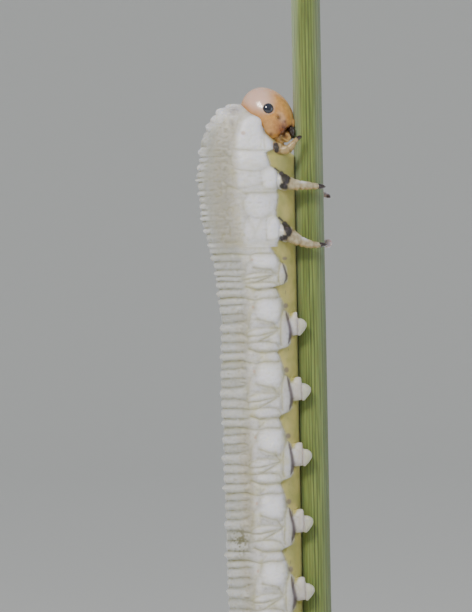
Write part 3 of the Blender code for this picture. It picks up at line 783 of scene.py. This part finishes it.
head = {
    "centre": (-1.82, 0, -0.62), "pitch": 30, "size": (1.42, 1.14, 1.24), "rings": 170, "sides": 230,
    "eye": (-0.28, 0.225), "eyeRadius": 0.24, "eyeHeight": 0.145, "eyeRim": 0.26, "antenna": (0.285, 0.41),
    "frontSeam": ((0.02, 0), (0.22, 0.20), (0.52, 0.40), (0.84, 0.52)), "seamWidths": (0.035, 0.03),
    "rim": 0.84, "end": 1.34, "mouthPinch": 0.50,
    "heights": {
        "midSeam": -0.030, "frontSeam": -0.020, "cleft": -0.030, "clypeus": 0.05, "eyeRing": 0.012, "eyePit": -0.05,
        "socketRing": 0.010, "socketPit": -0.02, "bumps": 0.004, "waves": 0.006,
    },
}
pitch = math.radians(head["pitch"])
# The head's own axes: to the mouth, to the face and to the left
headAxes = np.array([(math.sin(pitch), 0, -math.cos(pitch)), (math.cos(pitch), 0, math.sin(pitch)), (0, 1, 0)])
headCentre = np.array(head["centre"]) + (0, 0, neckTop)
headLong, headDeep, headWide = head["size"]


def onHead(along, front, side):
    return headCentre + np.array([along, front, side]) @ headAxes


def headSide(along, front):
    return headWide * math.sqrt(1 - (along / headLong) ** 2 - (front / headDeep) ** 2)


local = ballPoints(head["rings"], head["sides"]) * head["size"]
a, f, w = local.T
normal = local / np.square(head["size"])
normal /= np.linalg.norm(normal, axis=1)[:, None]
midSeam = gauss(w, head["seamWidths"][0]) * smooth(-a, -0.05, 0.05) * smooth(f, -0.9, -0.5)
frontSeam = np.exp(-lineDistance(a, np.abs(w), head["frontSeam"]) / head["seamWidths"][1]) * smooth(f, 0, 0.25)
eyeGap, antennaGap = (
    np.linalg.norm(np.stack([a, f, np.abs(w)], axis=1) - (*head[key], headSide(*head[key])), axis=1)
    for key in ("eye", "antenna")
)
forms = {
    "midSeam": midSeam, "frontSeam": frontSeam, "cleft": gauss(w, 0.16) * smooth(-a, 0.3, 1),
    # stands out a little over the upper lip
    "clypeus": smooth(a, 0.66, 0.74) * fade(a, 0.96, 1.04) * smooth(f, 0.25, 0.45) * fade(np.abs(w), 0.36, 0.50),
    "eyeRing": gauss(eyeGap - head["eyeRim"], 0.035), "eyePit": gauss(eyeGap, 0.19),
    "socketRing": gauss(antennaGap - 0.10, 0.025), "socketPit": gauss(antennaGap, 0.07),
    "bumps": softNoise(local, 0.16, 21), "waves": softNoise(local, 0.5, 22),
}
local = local + normal * sum(head["heights"][key] * form for key, form in forms.items())[:, None]
# The hard capsule ends in a rim, and the mouth folds in under it
rim = head["rim"] + 0.16 * smooth(f, 0.35, 0.8) * fade(np.abs(w), 0.32, 0.5) + 0.13 * fade(f, 0.26, 0.50)
local[:, 1:] *= 1 - head["mouthPinch"] * smooth(a, rim, rim + 0.14)[:, None]
local[:, 0] = np.minimum(local[:, 0], head["end"])
headPoints = local @ headAxes + headCentre
cloudNoise, fineNoise = softNoise(headPoints, 0.14, 27), softNoise(headPoints, 0.07, 25)
crownGap = np.hypot(headPoints[:, 0] + 2.21, neckTop - headPoints[:, 2] + 0.22) + 0.07 * softNoise(headPoints, 0.4, 24)
cheek = gauss(np.hypot((a - 0.93) / 1.25, f - 0.33), 0.28)
cheek *= 0.5 + 0.5 * smooth(cloudNoise + 0.6 * fineNoise, -0.30, 0.15)
dots = 0.6 * gauss(np.hypot(a - 0.60, f - 0.57), 0.07) + 0.7 * gauss(np.hypot(a - 0.77, f + 0.27), 0.09)
edging = 0.55 * gauss(a - rim - 0.02, 0.04) * smooth(cloudNoise, -1, 0.3) + 0.6 * smooth(a, rim + 0.04, rim + 0.12)
headMasks = {
    "crown": fade(crownGap, 0.28, 1.02) * (0.15 + 0.85 * smooth(f, -0.85, -0.45)),
    "rear": smooth(-f, 0.35, 0.75) * smooth(a, -1.15, -0.75) * fade(a, -0.1, 0.4),
    "cloud": gauss(np.hypot((a - 0.90) / 1.3, f - 0.32), 0.30) * smooth(np.abs(w), 0.4, 0.6),
    "dark": np.clip(cheek + dots + edging, 0, 1),
    "socket": np.clip(gauss(antennaGap, 0.075) + 0.35 * gauss(antennaGap - 0.12, 0.04), 0, 1),
    "rim": gauss(eyeGap - head["eyeRim"], 0.04), "seam": np.clip(midSeam + frontSeam, 0, 1),
}

# Head capsule: thin hard cuticle, tan like amber varnish over flesh, smooth and glossy, paler on the crown
headLook = {
    "lower": "#d8a258", "amber": "#c28a48",
    "layers": (
        ("crown", "#dcb8a8", 0.95), ("rear", "#c9823c", 0.55), ("cloud", "#a4561c", 0.8), ("rim", "#dcc4b0", 0.4),
        ("seam", "#b07a44", 0.5), ("socket", "#4a2a12", 0.85), ("dark", "#4a1a05", 0.95),
    ),
}
headMaterial, tree, shader, coords = startMaterial("larval cuticle, tan and glossy", {
    "Roughness": 0.26, "IOR": 1.54, "Subsurface Weight": 0.4, "Subsurface Scale": 0.0003,
    "Subsurface Radius": (1.0, 0.55, 0.3), "Coat Weight": 0.5, "Coat Roughness": 0.06,
})
# Clouds of pigment a quarter of a millimetre wide, and the cell pattern of the cuticle, drawn about 0.03 mm coarse
clouds = addNode(tree, "TexNoise", {"Scale": 5000, "Detail": 4, "Roughness": 0.6, "Vector": coords})
cells = addNode(tree, "TexVoronoi", {"Scale": 30000, "Vector": coords})
cloudShare = addNode(tree, "MapRange", {"From Min": 0.35, "From Max": 0.65, "Value": clouds})
colour = paintLayers(tree, headLook["lower"], (cloudShare, headLook["amber"], 1), *headLook["layers"])
bump = addNode(tree, "Bump", {"Strength": 0.12, "Distance": 0.000004, "Height": cells})
setNode(tree, shader, {"Base Color": colour, "Normal": bump})
headShape = headPoints, gridFaces(head["rings"], head["sides"])
addPiece("head_capsule", headShape, headMaterial, ["head"], headMasks)

# Eye: one clear lens over black pigment, round and moist-looking
eyeMaterial, tree, shader, coords = startMaterial("larval eye lens, black under clear cuticle", {
    "Roughness": 0.06, "IOR": 1.5, "Coat Weight": 1.0, "Coat Roughness": 0.03,
})
film = addNode(tree, "TexNoise", {"Scale": 6000, "Detail": 1, "Vector": coords})
setNode(tree, shader, {"Base Color": paintLayers(tree, "#07070b", (film, "#1c2740", 1))})


# Horn: thin cuticle the colour of pale amber, see-through enough to glow, darker where it is thick
def hornMaterial(name, first, second, *layers):
    material, tree, shader, coords = startMaterial(name, {
        "Roughness": 0.34, "IOR": 1.52, "Subsurface Weight": 0.75, "Subsurface Scale": 0.00022,
        "Subsurface Radius": (1.0, 0.8, 0.45), "Coat Weight": 0.1, "Coat Roughness": 0.15,
    })
    mottle = addNode(tree, "TexNoise", {"Scale": 6000, "Detail": 3, "Vector": coords})
    spread = addNode(tree, "MapRange", {"From Min": 0.35, "From Max": 0.65, "Value": mottle})
    setNode(tree, shader, {"Base Color": paintLayers(tree, first, (spread, second, 1), *layers)})
    return material


# Among the leg's layers is a pale painted highlight on top of the thigh
legHorn = hornMaterial(
    "larval leg cuticle, pale amber", "#bfb9a0", "#9d9379",
    ("amber", "#b3924f", 0.75), ("joint", "#7d6236", 0.5), ("thighHighlight", "#e6e9f0", 0.7), ("hip", "#d6d6d4", 0.9),
    ("plate", "#150d13", 0.96), ("gleam", "#5d5064", 0.55), ("tip", "#4a3228", 0.8), ("pad", "#d3c4d2", 0.9),
)
# The dark plates are dull, like the skin round them
tree = legHorn.node_tree
plateShare = addNode(tree, "Attribute", {"attribute_name": "plate"}).outputs["Fac"]
dullness = addNode(tree, "MapRange", {"To Min": 0.34, "To Max": 0.65, "Value": plateShare})
setNode(tree, tree.nodes["Principled BSDF"], {"Roughness": dullness})
mouthHorn = hornMaterial("larval mouth cuticle, amber", "#e8bf7c", "#cf9c54", ("joint", "#4e2810", 0.9))
paleClaw = hornMaterial("larval claw seen along its pale pad", "#d8c8d0", "#bfa8b2", ("tip", "#33202a", 0.9))

# Dark horn: hard black-brown cuticle of the jaws and claws, polished by use
darkHorn, tree, shader, coords = startMaterial("hardened cuticle, black-brown", {
    "Roughness": 0.24, "IOR": 1.56, "Coat Weight": 0.3,
})
mottle = addNode(tree, "TexNoise", {"Scale": 9000, "Detail": 3, "Vector": coords})
setNode(tree, shader, {"Base Color": paintLayers(tree, "#180c0a", (mottle, "#3a2420", 1))})

# Eyes and feelers: radius and height pairs, for the feeler's steps from its socket to its point
feeler = (
    (0, -0.04), (0.080, -0.03), (0.080, 0.012), (0.060, 0.028), (0.062, 0.050), (0.046, 0.062), (0.046, 0.088),
    (0.032, 0.098), (0.030, 0.122), (0.019, 0.130), (0.014, 0.152), (0, 0.158),
)
dome = [(0, -0.06), (head["eyeRadius"] * 0.9, -0.05)] + [
    (head["eyeRadius"] * math.cos(t), head["eyeHeight"] * math.sin(t)) for t in np.linspace(0, math.pi / 2, 16)
]
for side, word in words.items():
    surface = headSide(*head["eye"])
    outward = np.array([*head["eye"], side * surface]) / np.square(head["size"]) @ headAxes
    eyeShape = latheMesh(dome, onHead(*head["eye"], side * (surface - 0.035)), outward, 48)
    addPiece(f"eye_lens_{word}", eyeShape, eyeMaterial, [f"eye_{word}"])
    foot = onHead(*head["antenna"], side * (headSide(*head["antenna"]) - 0.02))
    feelerShape = latheMesh(feeler, foot, np.array([0.12, 0.35, side * 0.9]) @ headAxes, 28)
    addPiece(f"feeler_{word}", feelerShape, mouthHorn, [f"antenna_{word}"], {"joint": 0.8})
print("head done")


# Mouthparts, from the face to the throat: upper lip, jaws, the two maxillae with palps, and the lower lip.
# An egg has a place and half sizes, a palp or a jaw the corners of its line.

mouth = {
    "lip": ((0.98, 0.64, 0), (0.26, 0.17, 0.36)),
    "jaw": ((0.90, 0.64, 0.36), (1.10, 0.62, 0.39), (1.28, 0.52, 0.30), (1.37, 0.46, 0.10)),
    "jawRadius": 0.175, "teeth": 3, "toothHeight": 0.05,
    "stipes": ((0.98, -0.10, 0.42), (0.40, 0.30, 0.27)),
    "galea": ((1.16, 0.26, 0.36), (0.27, 0.26, 0.20)),
    "palp": ((1.12, 0.06, 0.58), (1.30, 0.16, 0.56), (1.42, 0.28, 0.48)), "palpRadius": 0.085,
    "lowerLip": ((1.10, -0.12, 0), (0.38, 0.28, 0.30)),
    "lowerPalp": ((1.38, -0.06, 0.15), (1.48, 0.00, 0.16), (1.56, 0.07, 0.14)), "lowerPalpRadius": 0.062,
}


def mouthEgg(name, side=1, notch=0.0):
    # A notch at the free edge parts an egg in two rounded lobes
    (along, front, across), halves = mouth[name]
    ball = ballPoints(40, 56)
    ball[:, 0] -= notch * gauss(ball[:, 2], 0.18) * smooth(ball[:, 0], 0, 0.8)
    return onHead(along, front, side * across) + ball * halves @ headAxes, gridFaces(40, 56)


def mouthLine(name, side, count):
    return curveThrough([onHead(a, f, side * s) for a, f, s in mouth[name]], count), np.linspace(0, 1, count)


def palpMesh(name, side):
    line, t = mouthLine(name, side, 40)
    radii = mouth[name + "Radius"] * (1 - 0.55 * t) * (1 - 0.22 * (gauss(t - 0.33, 0.03) + gauss(t - 0.62, 0.03)))
    radii[-4:] *= (0.95, 0.85, 0.65, 0.3)
    return tubeMesh(line, radii, 20)


addPiece("upper_lip", mouthEgg("lip", notch=0.35), mouthHorn, masks={"joint": 0.35})
lowerLip = joinMeshes([mouthEgg("lowerLip")] + [palpMesh("lowerPalp", side) for side in words])
addPiece("lower_lip", lowerLip, mouthHorn, masks={"joint": 0.25})
for side, word in words.items():
    maxilla = joinMeshes([mouthEgg("stipes", side), mouthEgg("galea", side), palpMesh("palp", side)])
    speckle = softNoise(maxilla[0], 0.12, 31)
    along, front, _ = headAxes @ (maxilla[0] - headCentre).T
    nearJaw = gauss(np.hypot((along - 1.0) / 1.2, front - 0.30), 0.18)
    blotch = np.clip(0.3 * smooth(speckle, 0.15, 0.6) + nearJaw * smooth(speckle, -0.6, 0.1), 0, 1)
    addPiece(f"maxilla_{word}", maxilla, mouthHorn, masks={"joint": blotch})
    line, t = mouthLine("jaw", side, 70)
    radii = mouth["jawRadius"] * (0.75 + 0.25 * smooth(t, 0, 0.2)) * (1 - 0.62 * smooth(t, 0.45, 1))
    points, faces = tubeMesh(line, radii, 40, 0.9, headAxes[1])
    # Teeth across the biting end
    tooth = np.outer(smooth(t, 0.82, 1), np.cos(mouth["teeth"] * circle(40))).ravel() * mouth["toothHeight"]
    points[:-2] += np.outer(tooth, line[-1] - line[-8]) / np.linalg.norm(line[-1] - line[-8])
    addPiece(f"jaw_{word}", (points, faces), darkHorn, [f"mandible_{word}"])
print("mouth done")


# Legs of the thorax: three pairs of jointed legs, soft and amber with a dark claw each

legForm = {
    "sides": 32, "count": 110, "joints": (0.32, 0.50, 0.70, 0.88), "wart": 0.035, "warts": 13, "knobs": 0.014,
    "waist": 0.10, "knuckle": 0.05, "clawFrom": 0.83, "clawCount": 40, "clawSides": 20,
    "clawHook": (-0.02, -0.06, -0.07),  # shift of the claw's point: back, inwards and down
}
# For each leg the depth of its root below the neck, the shift of the left tip across and up, how amber it is, and
# where its hip ends. Its line is x, height over the root and distance from the middle plane; radii are at shares
# of its length. The left tips that show past the stem have their claw at another share, and a pad of another radius.
legs = {
    "front": {
        "root": 1.96, "leftTip": (0, -0.06), "amber": 0.75, "hip": -1.60, "late": None,
        "line": (
            (-1.70, -0.06, 0.84), (-1.40, -0.10, 1.04), (-1.10, -0.17, 1.18), (-0.86, -0.08, 1.24),
            (-0.68, 0.12, 1.24), (-0.52, 0.30, 1.18), (-0.36, 0.42, 1.08), (-0.26, 0.49, 1.00),
        ),
        "radii": (
            (0, 0.29), (0.2, 0.28), (0.36, 0.20), (0.52, 0.155), (0.67, 0.125), (0.80, 0.095), (0.88, 0.08),
            (1, 0.065),
        ),
    },
    "middle": {
        "root": 3.54, "leftTip": (0.22, -0.45), "amber": 0.15, "hip": -1.27, "late": (0.90, 0.115),
        "line": (
            (-1.65, 0.04, 0.86), (-1.32, 0.02, 1.10), (-0.96, -0.08, 1.24), (-0.58, -0.15, 1.25),
            (-0.14, -0.19, 1.20), (0.24, -0.22, 1.08), (0.50, -0.24, 0.92), (0.76, -0.20, 0.68),
        ),
        "radii": (
            (0, 0.36), (0.15, 0.38), (0.28, 0.35), (0.36, 0.275), (0.45, 0.215), (0.6, 0.175), (0.75, 0.135),
            (0.85, 0.105), (1, 0.09),
        ),
    },
    "hind": {
        "root": 5.82, "leftTip": (0.19, 0.06), "amber": 0.15, "hip": -1.19, "late": (0.95, 0.185),
        "line": (
            (-1.65, 0.06, 0.86), (-1.32, 0.02, 1.10), (-0.92, -0.12, 1.26), (-0.54, -0.34, 1.25),
            (-0.12, -0.50, 1.20), (0.26, -0.56, 1.08), (0.52, -0.56, 0.92), (0.78, -0.50, 0.68),
        ),
        "radii": (
            (0, 0.36), (0.15, 0.38), (0.28, 0.35), (0.36, 0.29), (0.45, 0.235), (0.6, 0.185), (0.75, 0.135),
            (0.85, 0.09), (1, 0.08),
        ),
    },
}
sides, t = legForm["sides"], np.linspace(0, 1, legForm["count"])
for name, leg in legs.items():
    for side, word in words.items():
        x, z, y = np.array(leg["line"]).T
        share = (side > 0) * np.linspace(0, 1, len(x)) ** 2
        across, up = leg["leftTip"]
        corners = np.stack([x + across * share, side * y, neckTop - leg["root"] + z + up * share], axis=1)
        line = curveThrough(corners, legForm["count"])
        waist = sum(gauss(t - joint, 0.016) for joint in legForm["joints"])
        swelling = sum(gauss(t - joint + 0.05, 0.035) for joint in legForm["joints"])
        radii = np.interp(t, *np.array(leg["radii"]).T)
        radii = radii * (1 - legForm["waist"] * waist + legForm["knuckle"] * swelling)
        late = leg["late"] if side > 0 else None
        clawFrom = late[0] if late else legForm["clawFrom"]
        if late:
            radii = np.maximum(radii, late[1] * smooth(t, 0.7, 0.85) * (1 - 0.25 * smooth(t, 0.92, 1)))
        stop = int(clawFrom * legForm["count"])
        points, faces = tubeMesh(line[:stop + 1], np.append(radii[:stop], radii[stop] * 0.5), sides)
        points = points + legForm["knobs"] * softNoise(points, 0.16, 41)[:, None] * np.array([0.3, side, 0.6])
        alongLeg = np.append(np.repeat(t[:stop + 1], sides), [0, t[stop]])
        joint = np.clip(sum(gauss(alongLeg - place - 0.01, 0.02) for place in legForm["joints"]), 0, 1)
        plate = plateMask(points, [name], 0.02 * softNoise(points, 0.12, 43))
        points[:, 1] += side * (0.02 + 0.012 * softNoise(points, 0.07, 44)) * plate
        # A row of small warts along the underside, and a painted highlight on top of the thigh
        centreZ = np.append(np.repeat(line[:stop + 1, 2], sides), line[[0, stop], 2])
        turned = (centreZ - points[:, 2]) / np.append(np.repeat(radii[:stop + 1], sides), [1, 1])  # 1 below, -1 on top
        fringe = smooth(turned, 0.3, 0.8) * smooth(alongLeg, 0.34, 0.44)
        points[:, 2] -= legForm["wart"] * fringe * (0.5 + 0.5 * np.cos(2 * math.pi * legForm["warts"] * alongLeg))
        rough = 0.5 * (name == "front") * smooth(softNoise(points, 0.12, 46), 0, 0.7)
        addPiece(f"thorax_leg_{name}_{word}", (points, faces), legHorn, [f"leg_{name}_{word}"], {
            "joint": np.clip(0.8 * joint + rough, 0, 1), "plate": plate,
            "gleam": plate * smooth(softNoise(points * (1, 1, 0.5), 0.07, 45), 0.1, 0.8),
            "hip": fade(points[:, 0] + 0.02 * softNoise(points, 0.2, 47) - leg["hip"], -0.05, 0.05),
            "thighHighlight": smooth(-turned, 0.1, 0.8) * gauss(alongLeg - 0.54, 0.07) * (name != "front"),
            "tip": smooth(alongLeg, clawFrom - 0.05, clawFrom) * (0.15 if late else 0.7),
            "amber": np.clip(leg["amber"] + 0.7 * fringe, 0, 1),
            "pad": smooth(alongLeg, 0.80, 0.88) * (name == "hind") * (side > 0),
        })
        # Claw: a dark hook on a swollen base
        clawLine, alongClaw = line[stop - 3:], np.linspace(0, 1, legForm["clawCount"])
        bend = np.outer(np.linspace(0, 1, len(clawLine)) ** 2, legForm["clawHook"]) * (1, side, 1)
        hook = curveThrough(clawLine + bend, legForm["clawCount"])
        claw = tubeMesh(hook, radii[stop] * (1.08 - 1.02 * alongClaw ** 2.6), legForm["clawSides"])
        tipShare = smooth(np.append(np.repeat(alongClaw, legForm["clawSides"]), [0, 1]), 0.35, 0.75)
        tipShare = tipShare * (1 if name == "middle" else 0.12)
        addPiece(f"claw_{name}_{word}", claw, paleClaw if late else darkHorn, masks={"tip": tipShare})
print("legs done")


# Stem: a fresh grass culm, ribbed along its length, with dished ends

stem = {
    "radius": 0.65, "ribs": 30, "groove": 0.020, "grooveWidth": 0.035, "columns": 300, "rows": 70, "seed": 51,
    "ends": ((0.97, 0), (0.80, 0.03), (0.45, 0.07)), "endDepth": 0.08,  # share of the radius, and depth
}
rng = np.random.RandomState(stem["seed"])
ribAt = (np.arange(stem["ribs"]) + rng.uniform(-0.28, 0.28, stem["ribs"])) * 2 * math.pi / stem["ribs"]
ribDepth = rng.uniform(0.35, 1.0, stem["ribs"])
turns, heights = circle(stem["columns"]), np.linspace(stemLow.z / mm, stemHigh.z / mm, stem["rows"])
wander = 0.05 * np.sin(heights * 0.31) + 0.03 * np.sin(heights * 0.83 + 1)
gap = np.abs((turns[:, None] - ribAt - wander[:, None, None] * 0.2 + math.pi) % (2 * math.pi) - math.pi)
groove = (gauss(gap, stem["grooveWidth"]) * ribDepth).max(axis=2)
radius = stem["radius"] - stem["groove"] * groove
rings = np.stack([radius * np.cos(turns), radius * np.sin(turns), np.repeat(heights[:, None], len(turns), 1)], axis=-1)
lowEnd = [rings[0] * (share, share, 1) + (0, 0, sink) for share, sink in stem["ends"]]
highEnd = [rings[-1] * (share, share, 1) - (0, 0, sink) for share, sink in stem["ends"]]
tips = [(0, 0, heights[0] + stem["endDepth"]), (0, 0, heights[-1] - stem["endDepth"])]
stemRings = [*lowEnd[::-1], *rings, *highEnd]
stemPoints = np.concatenate([*stemRings, tips])
cut = np.ones(len(stemPoints))
cut[len(lowEnd) * len(turns):(len(lowEnd) + len(rings)) * len(turns)] = 0
grooves = [0.3 * groove[0]] * len(lowEnd) + [*groove] + [0.3 * groove[-1]] * len(highEnd)
# Painted reflection: a glancing sheen on the wax pales the two sides seen from the front, most above and less lower
# down; painted shade darkens the side away from the key light
stemNoise = 0.1 * softNoise(stemPoints * (1, 1, 0.08), 0.25, 52)
stemAcross = stemPoints[:, 0] / stem["radius"]
fadeLowerDown = 1 - 0.75 * smooth(neckTop - stemPoints[:, 2], 2, 12)
stemMasks = {
    "groove": np.concatenate(grooves + [[0, 0]]), "cut": cut,
    "waxAndPaintedLight": smooth(np.abs(stemAcross) + stemNoise, 0.35, 1.05) * fadeLowerDown * (1 - cut),
    "shade": smooth(stemAcross + stemNoise, 0.2, 1.05) * (1 - cut),
}

# Grass culm: green rind with fine dark furrows between ribs, its edges paled by a painted reflection off its wax and
# one side darkened by painted shade
stemLook = {
    "rind": "#8b9b55", "blotch": "#728340", "fibre": "#55622c",
    "layers": (
        ("waxAndPaintedLight", "#b3c0aa", 0.55), ("shade", "#56614c", 0.5), ("groove", "#353d1e", 0.8), ("cut", "#b8b98a", 0.9),
    ),
}
stemMaterial, tree, shader, coords = startMaterial("grass culm, fresh", {
    "Roughness": 0.42, "IOR": 1.45, "Subsurface Weight": 0.25, "Subsurface Scale": 0.0002,
    "Sheen Weight": 0.35, "Sheen Roughness": 0.35, "Sheen Tint": "#dfe8e0",
})
# Fibres are 0.05 mm apart and run for millimetres
stretch = addNode(tree, "Mapping", {"Scale": (1, 1, 0.03), "Vector": coords})
fibres = addNode(tree, "TexNoise", {"Scale": 14000, "Detail": 3, "Roughness": 0.6, "Vector": stretch})
blotches = addNode(tree, "TexNoise", {"Scale": 260, "Detail": 2, "Vector": coords})
contrast = addNode(tree, "MapRange", {"From Min": 0.40, "From Max": 0.62, "To Max": 0.7, "Value": fibres})
colour = paintLayers(
    tree, stemLook["rind"], (blotches, stemLook["blotch"], 1), (contrast, stemLook["fibre"], 1), *stemLook["layers"],
)
bump = addNode(tree, "Bump", {"Strength": 0.5, "Distance": 0.00001, "Height": fibres})
setNode(tree, shader, {"Base Color": colour, "Normal": bump})
stemShape = stemPoints, gridFaces(len(stemRings), len(turns))
addPiece("grass_culm", stemShape, stemMaterial, ["stem"], stemMasks)
print("stem done")


# Stand: a turned wooden disc and a steel rod that runs up into the stem, as radius and height pairs

stand = {
    "foot": (
        (0, 0), (11.9, 0), (12.3, 0.06), (12.5, 0.3), (12.5, 1.35), (12.46, 1.42), (12.34, 1.46), (12.34, 1.54),
        (12.44, 1.60),
    ),
    "shoulder": 0.55,
    "top": ((9, 2.5), (5, 2.5), (0.9, 2.5), (0.72, 2.47), (0.62, 2.40), (0, 2.40)),
    "rod": ((0, 2.30), (0.5, 2.32), (0.5, 3.2), (0.5, 6.9), (0.46, 6.98), (0, 6.98)),
    "sides": 160, "rodSides": 48,
}
footRadius, topHeight, bend = stand["foot"][-1][0], stand["top"][0][1], stand["shoulder"]
shoulder = [
    (footRadius - bend * (1 - math.cos(t)), topHeight - bend * (1 - math.sin(t)))
    for t in np.linspace(0, math.pi / 2, 10)
]
woodMaterial, tree, shader, coords = startMaterial("walnut, turned and oiled", {
    "Roughness": 0.42, "IOR": 1.5, "Coat Weight": 0.15, "Coat Roughness": 0.3,
})
# Growth rings about 1.2 mm apart seen along the grain, and pores 0.1 mm wide and a few millimetres long
grain = addNode(tree, "Mapping", {"Scale": (0.12, 1, 1), "Rotation": (0, 0.15, 0.4), "Vector": coords})
waves = addNode(tree, "TexWave", {
    "bands_direction": "Y", "Scale": 130, "Distortion": 6, "Detail": 3, "Detail Scale": 1.2, "Vector": grain,
})
pores = addNode(tree, "TexNoise", {"Scale": 5200, "Detail": 2, "Vector": grain})
poreShare = addNode(tree, "MapRange", {"From Min": 0.56, "From Max": 0.66, "To Max": 0.7, "Value": pores})
colour = paintLayers(tree, "#4a3123", (waves.outputs["Fac"], "#6b4a33", 1), (poreShare, "#2c1a12", 1))
bump = addNode(tree, "Bump", {"invert": True, "Strength": 0.25, "Distance": 0.00002, "Height": pores})
setNode(tree, shader, {"Base Color": colour, "Normal": bump})
discShape = latheMesh([*stand["foot"], *shoulder, *stand["top"]], np.zeros(3), (0, 0, 1), stand["sides"])
addPiece("stand_disc", discShape, woodMaterial, ["stand_base"])
steelMaterial, tree, shader, coords = startMaterial("stainless steel, drawn and polished", {
    "Metallic": 1.0, "Base Color": "#c4c6c8",
})
# Die lines 0.02 mm apart along the rod
drawn = addNode(tree, "Mapping", {"Scale": (1, 1, 0.02), "Vector": coords})
dieLines = addNode(tree, "TexNoise", {"Scale": 30000, "Detail": 1, "Vector": drawn})
polish = addNode(tree, "MapRange", {"To Min": 0.18, "To Max": 0.36, "Value": dieLines})
setNode(tree, shader, {"Roughness": polish})
rodShape = latheMesh(stand["rod"], np.zeros(3), (0, 0, 1), stand["rodSides"])
addPiece("stand_pin", rodShape, steelMaterial, ["stand_rod"])
print("stand done")
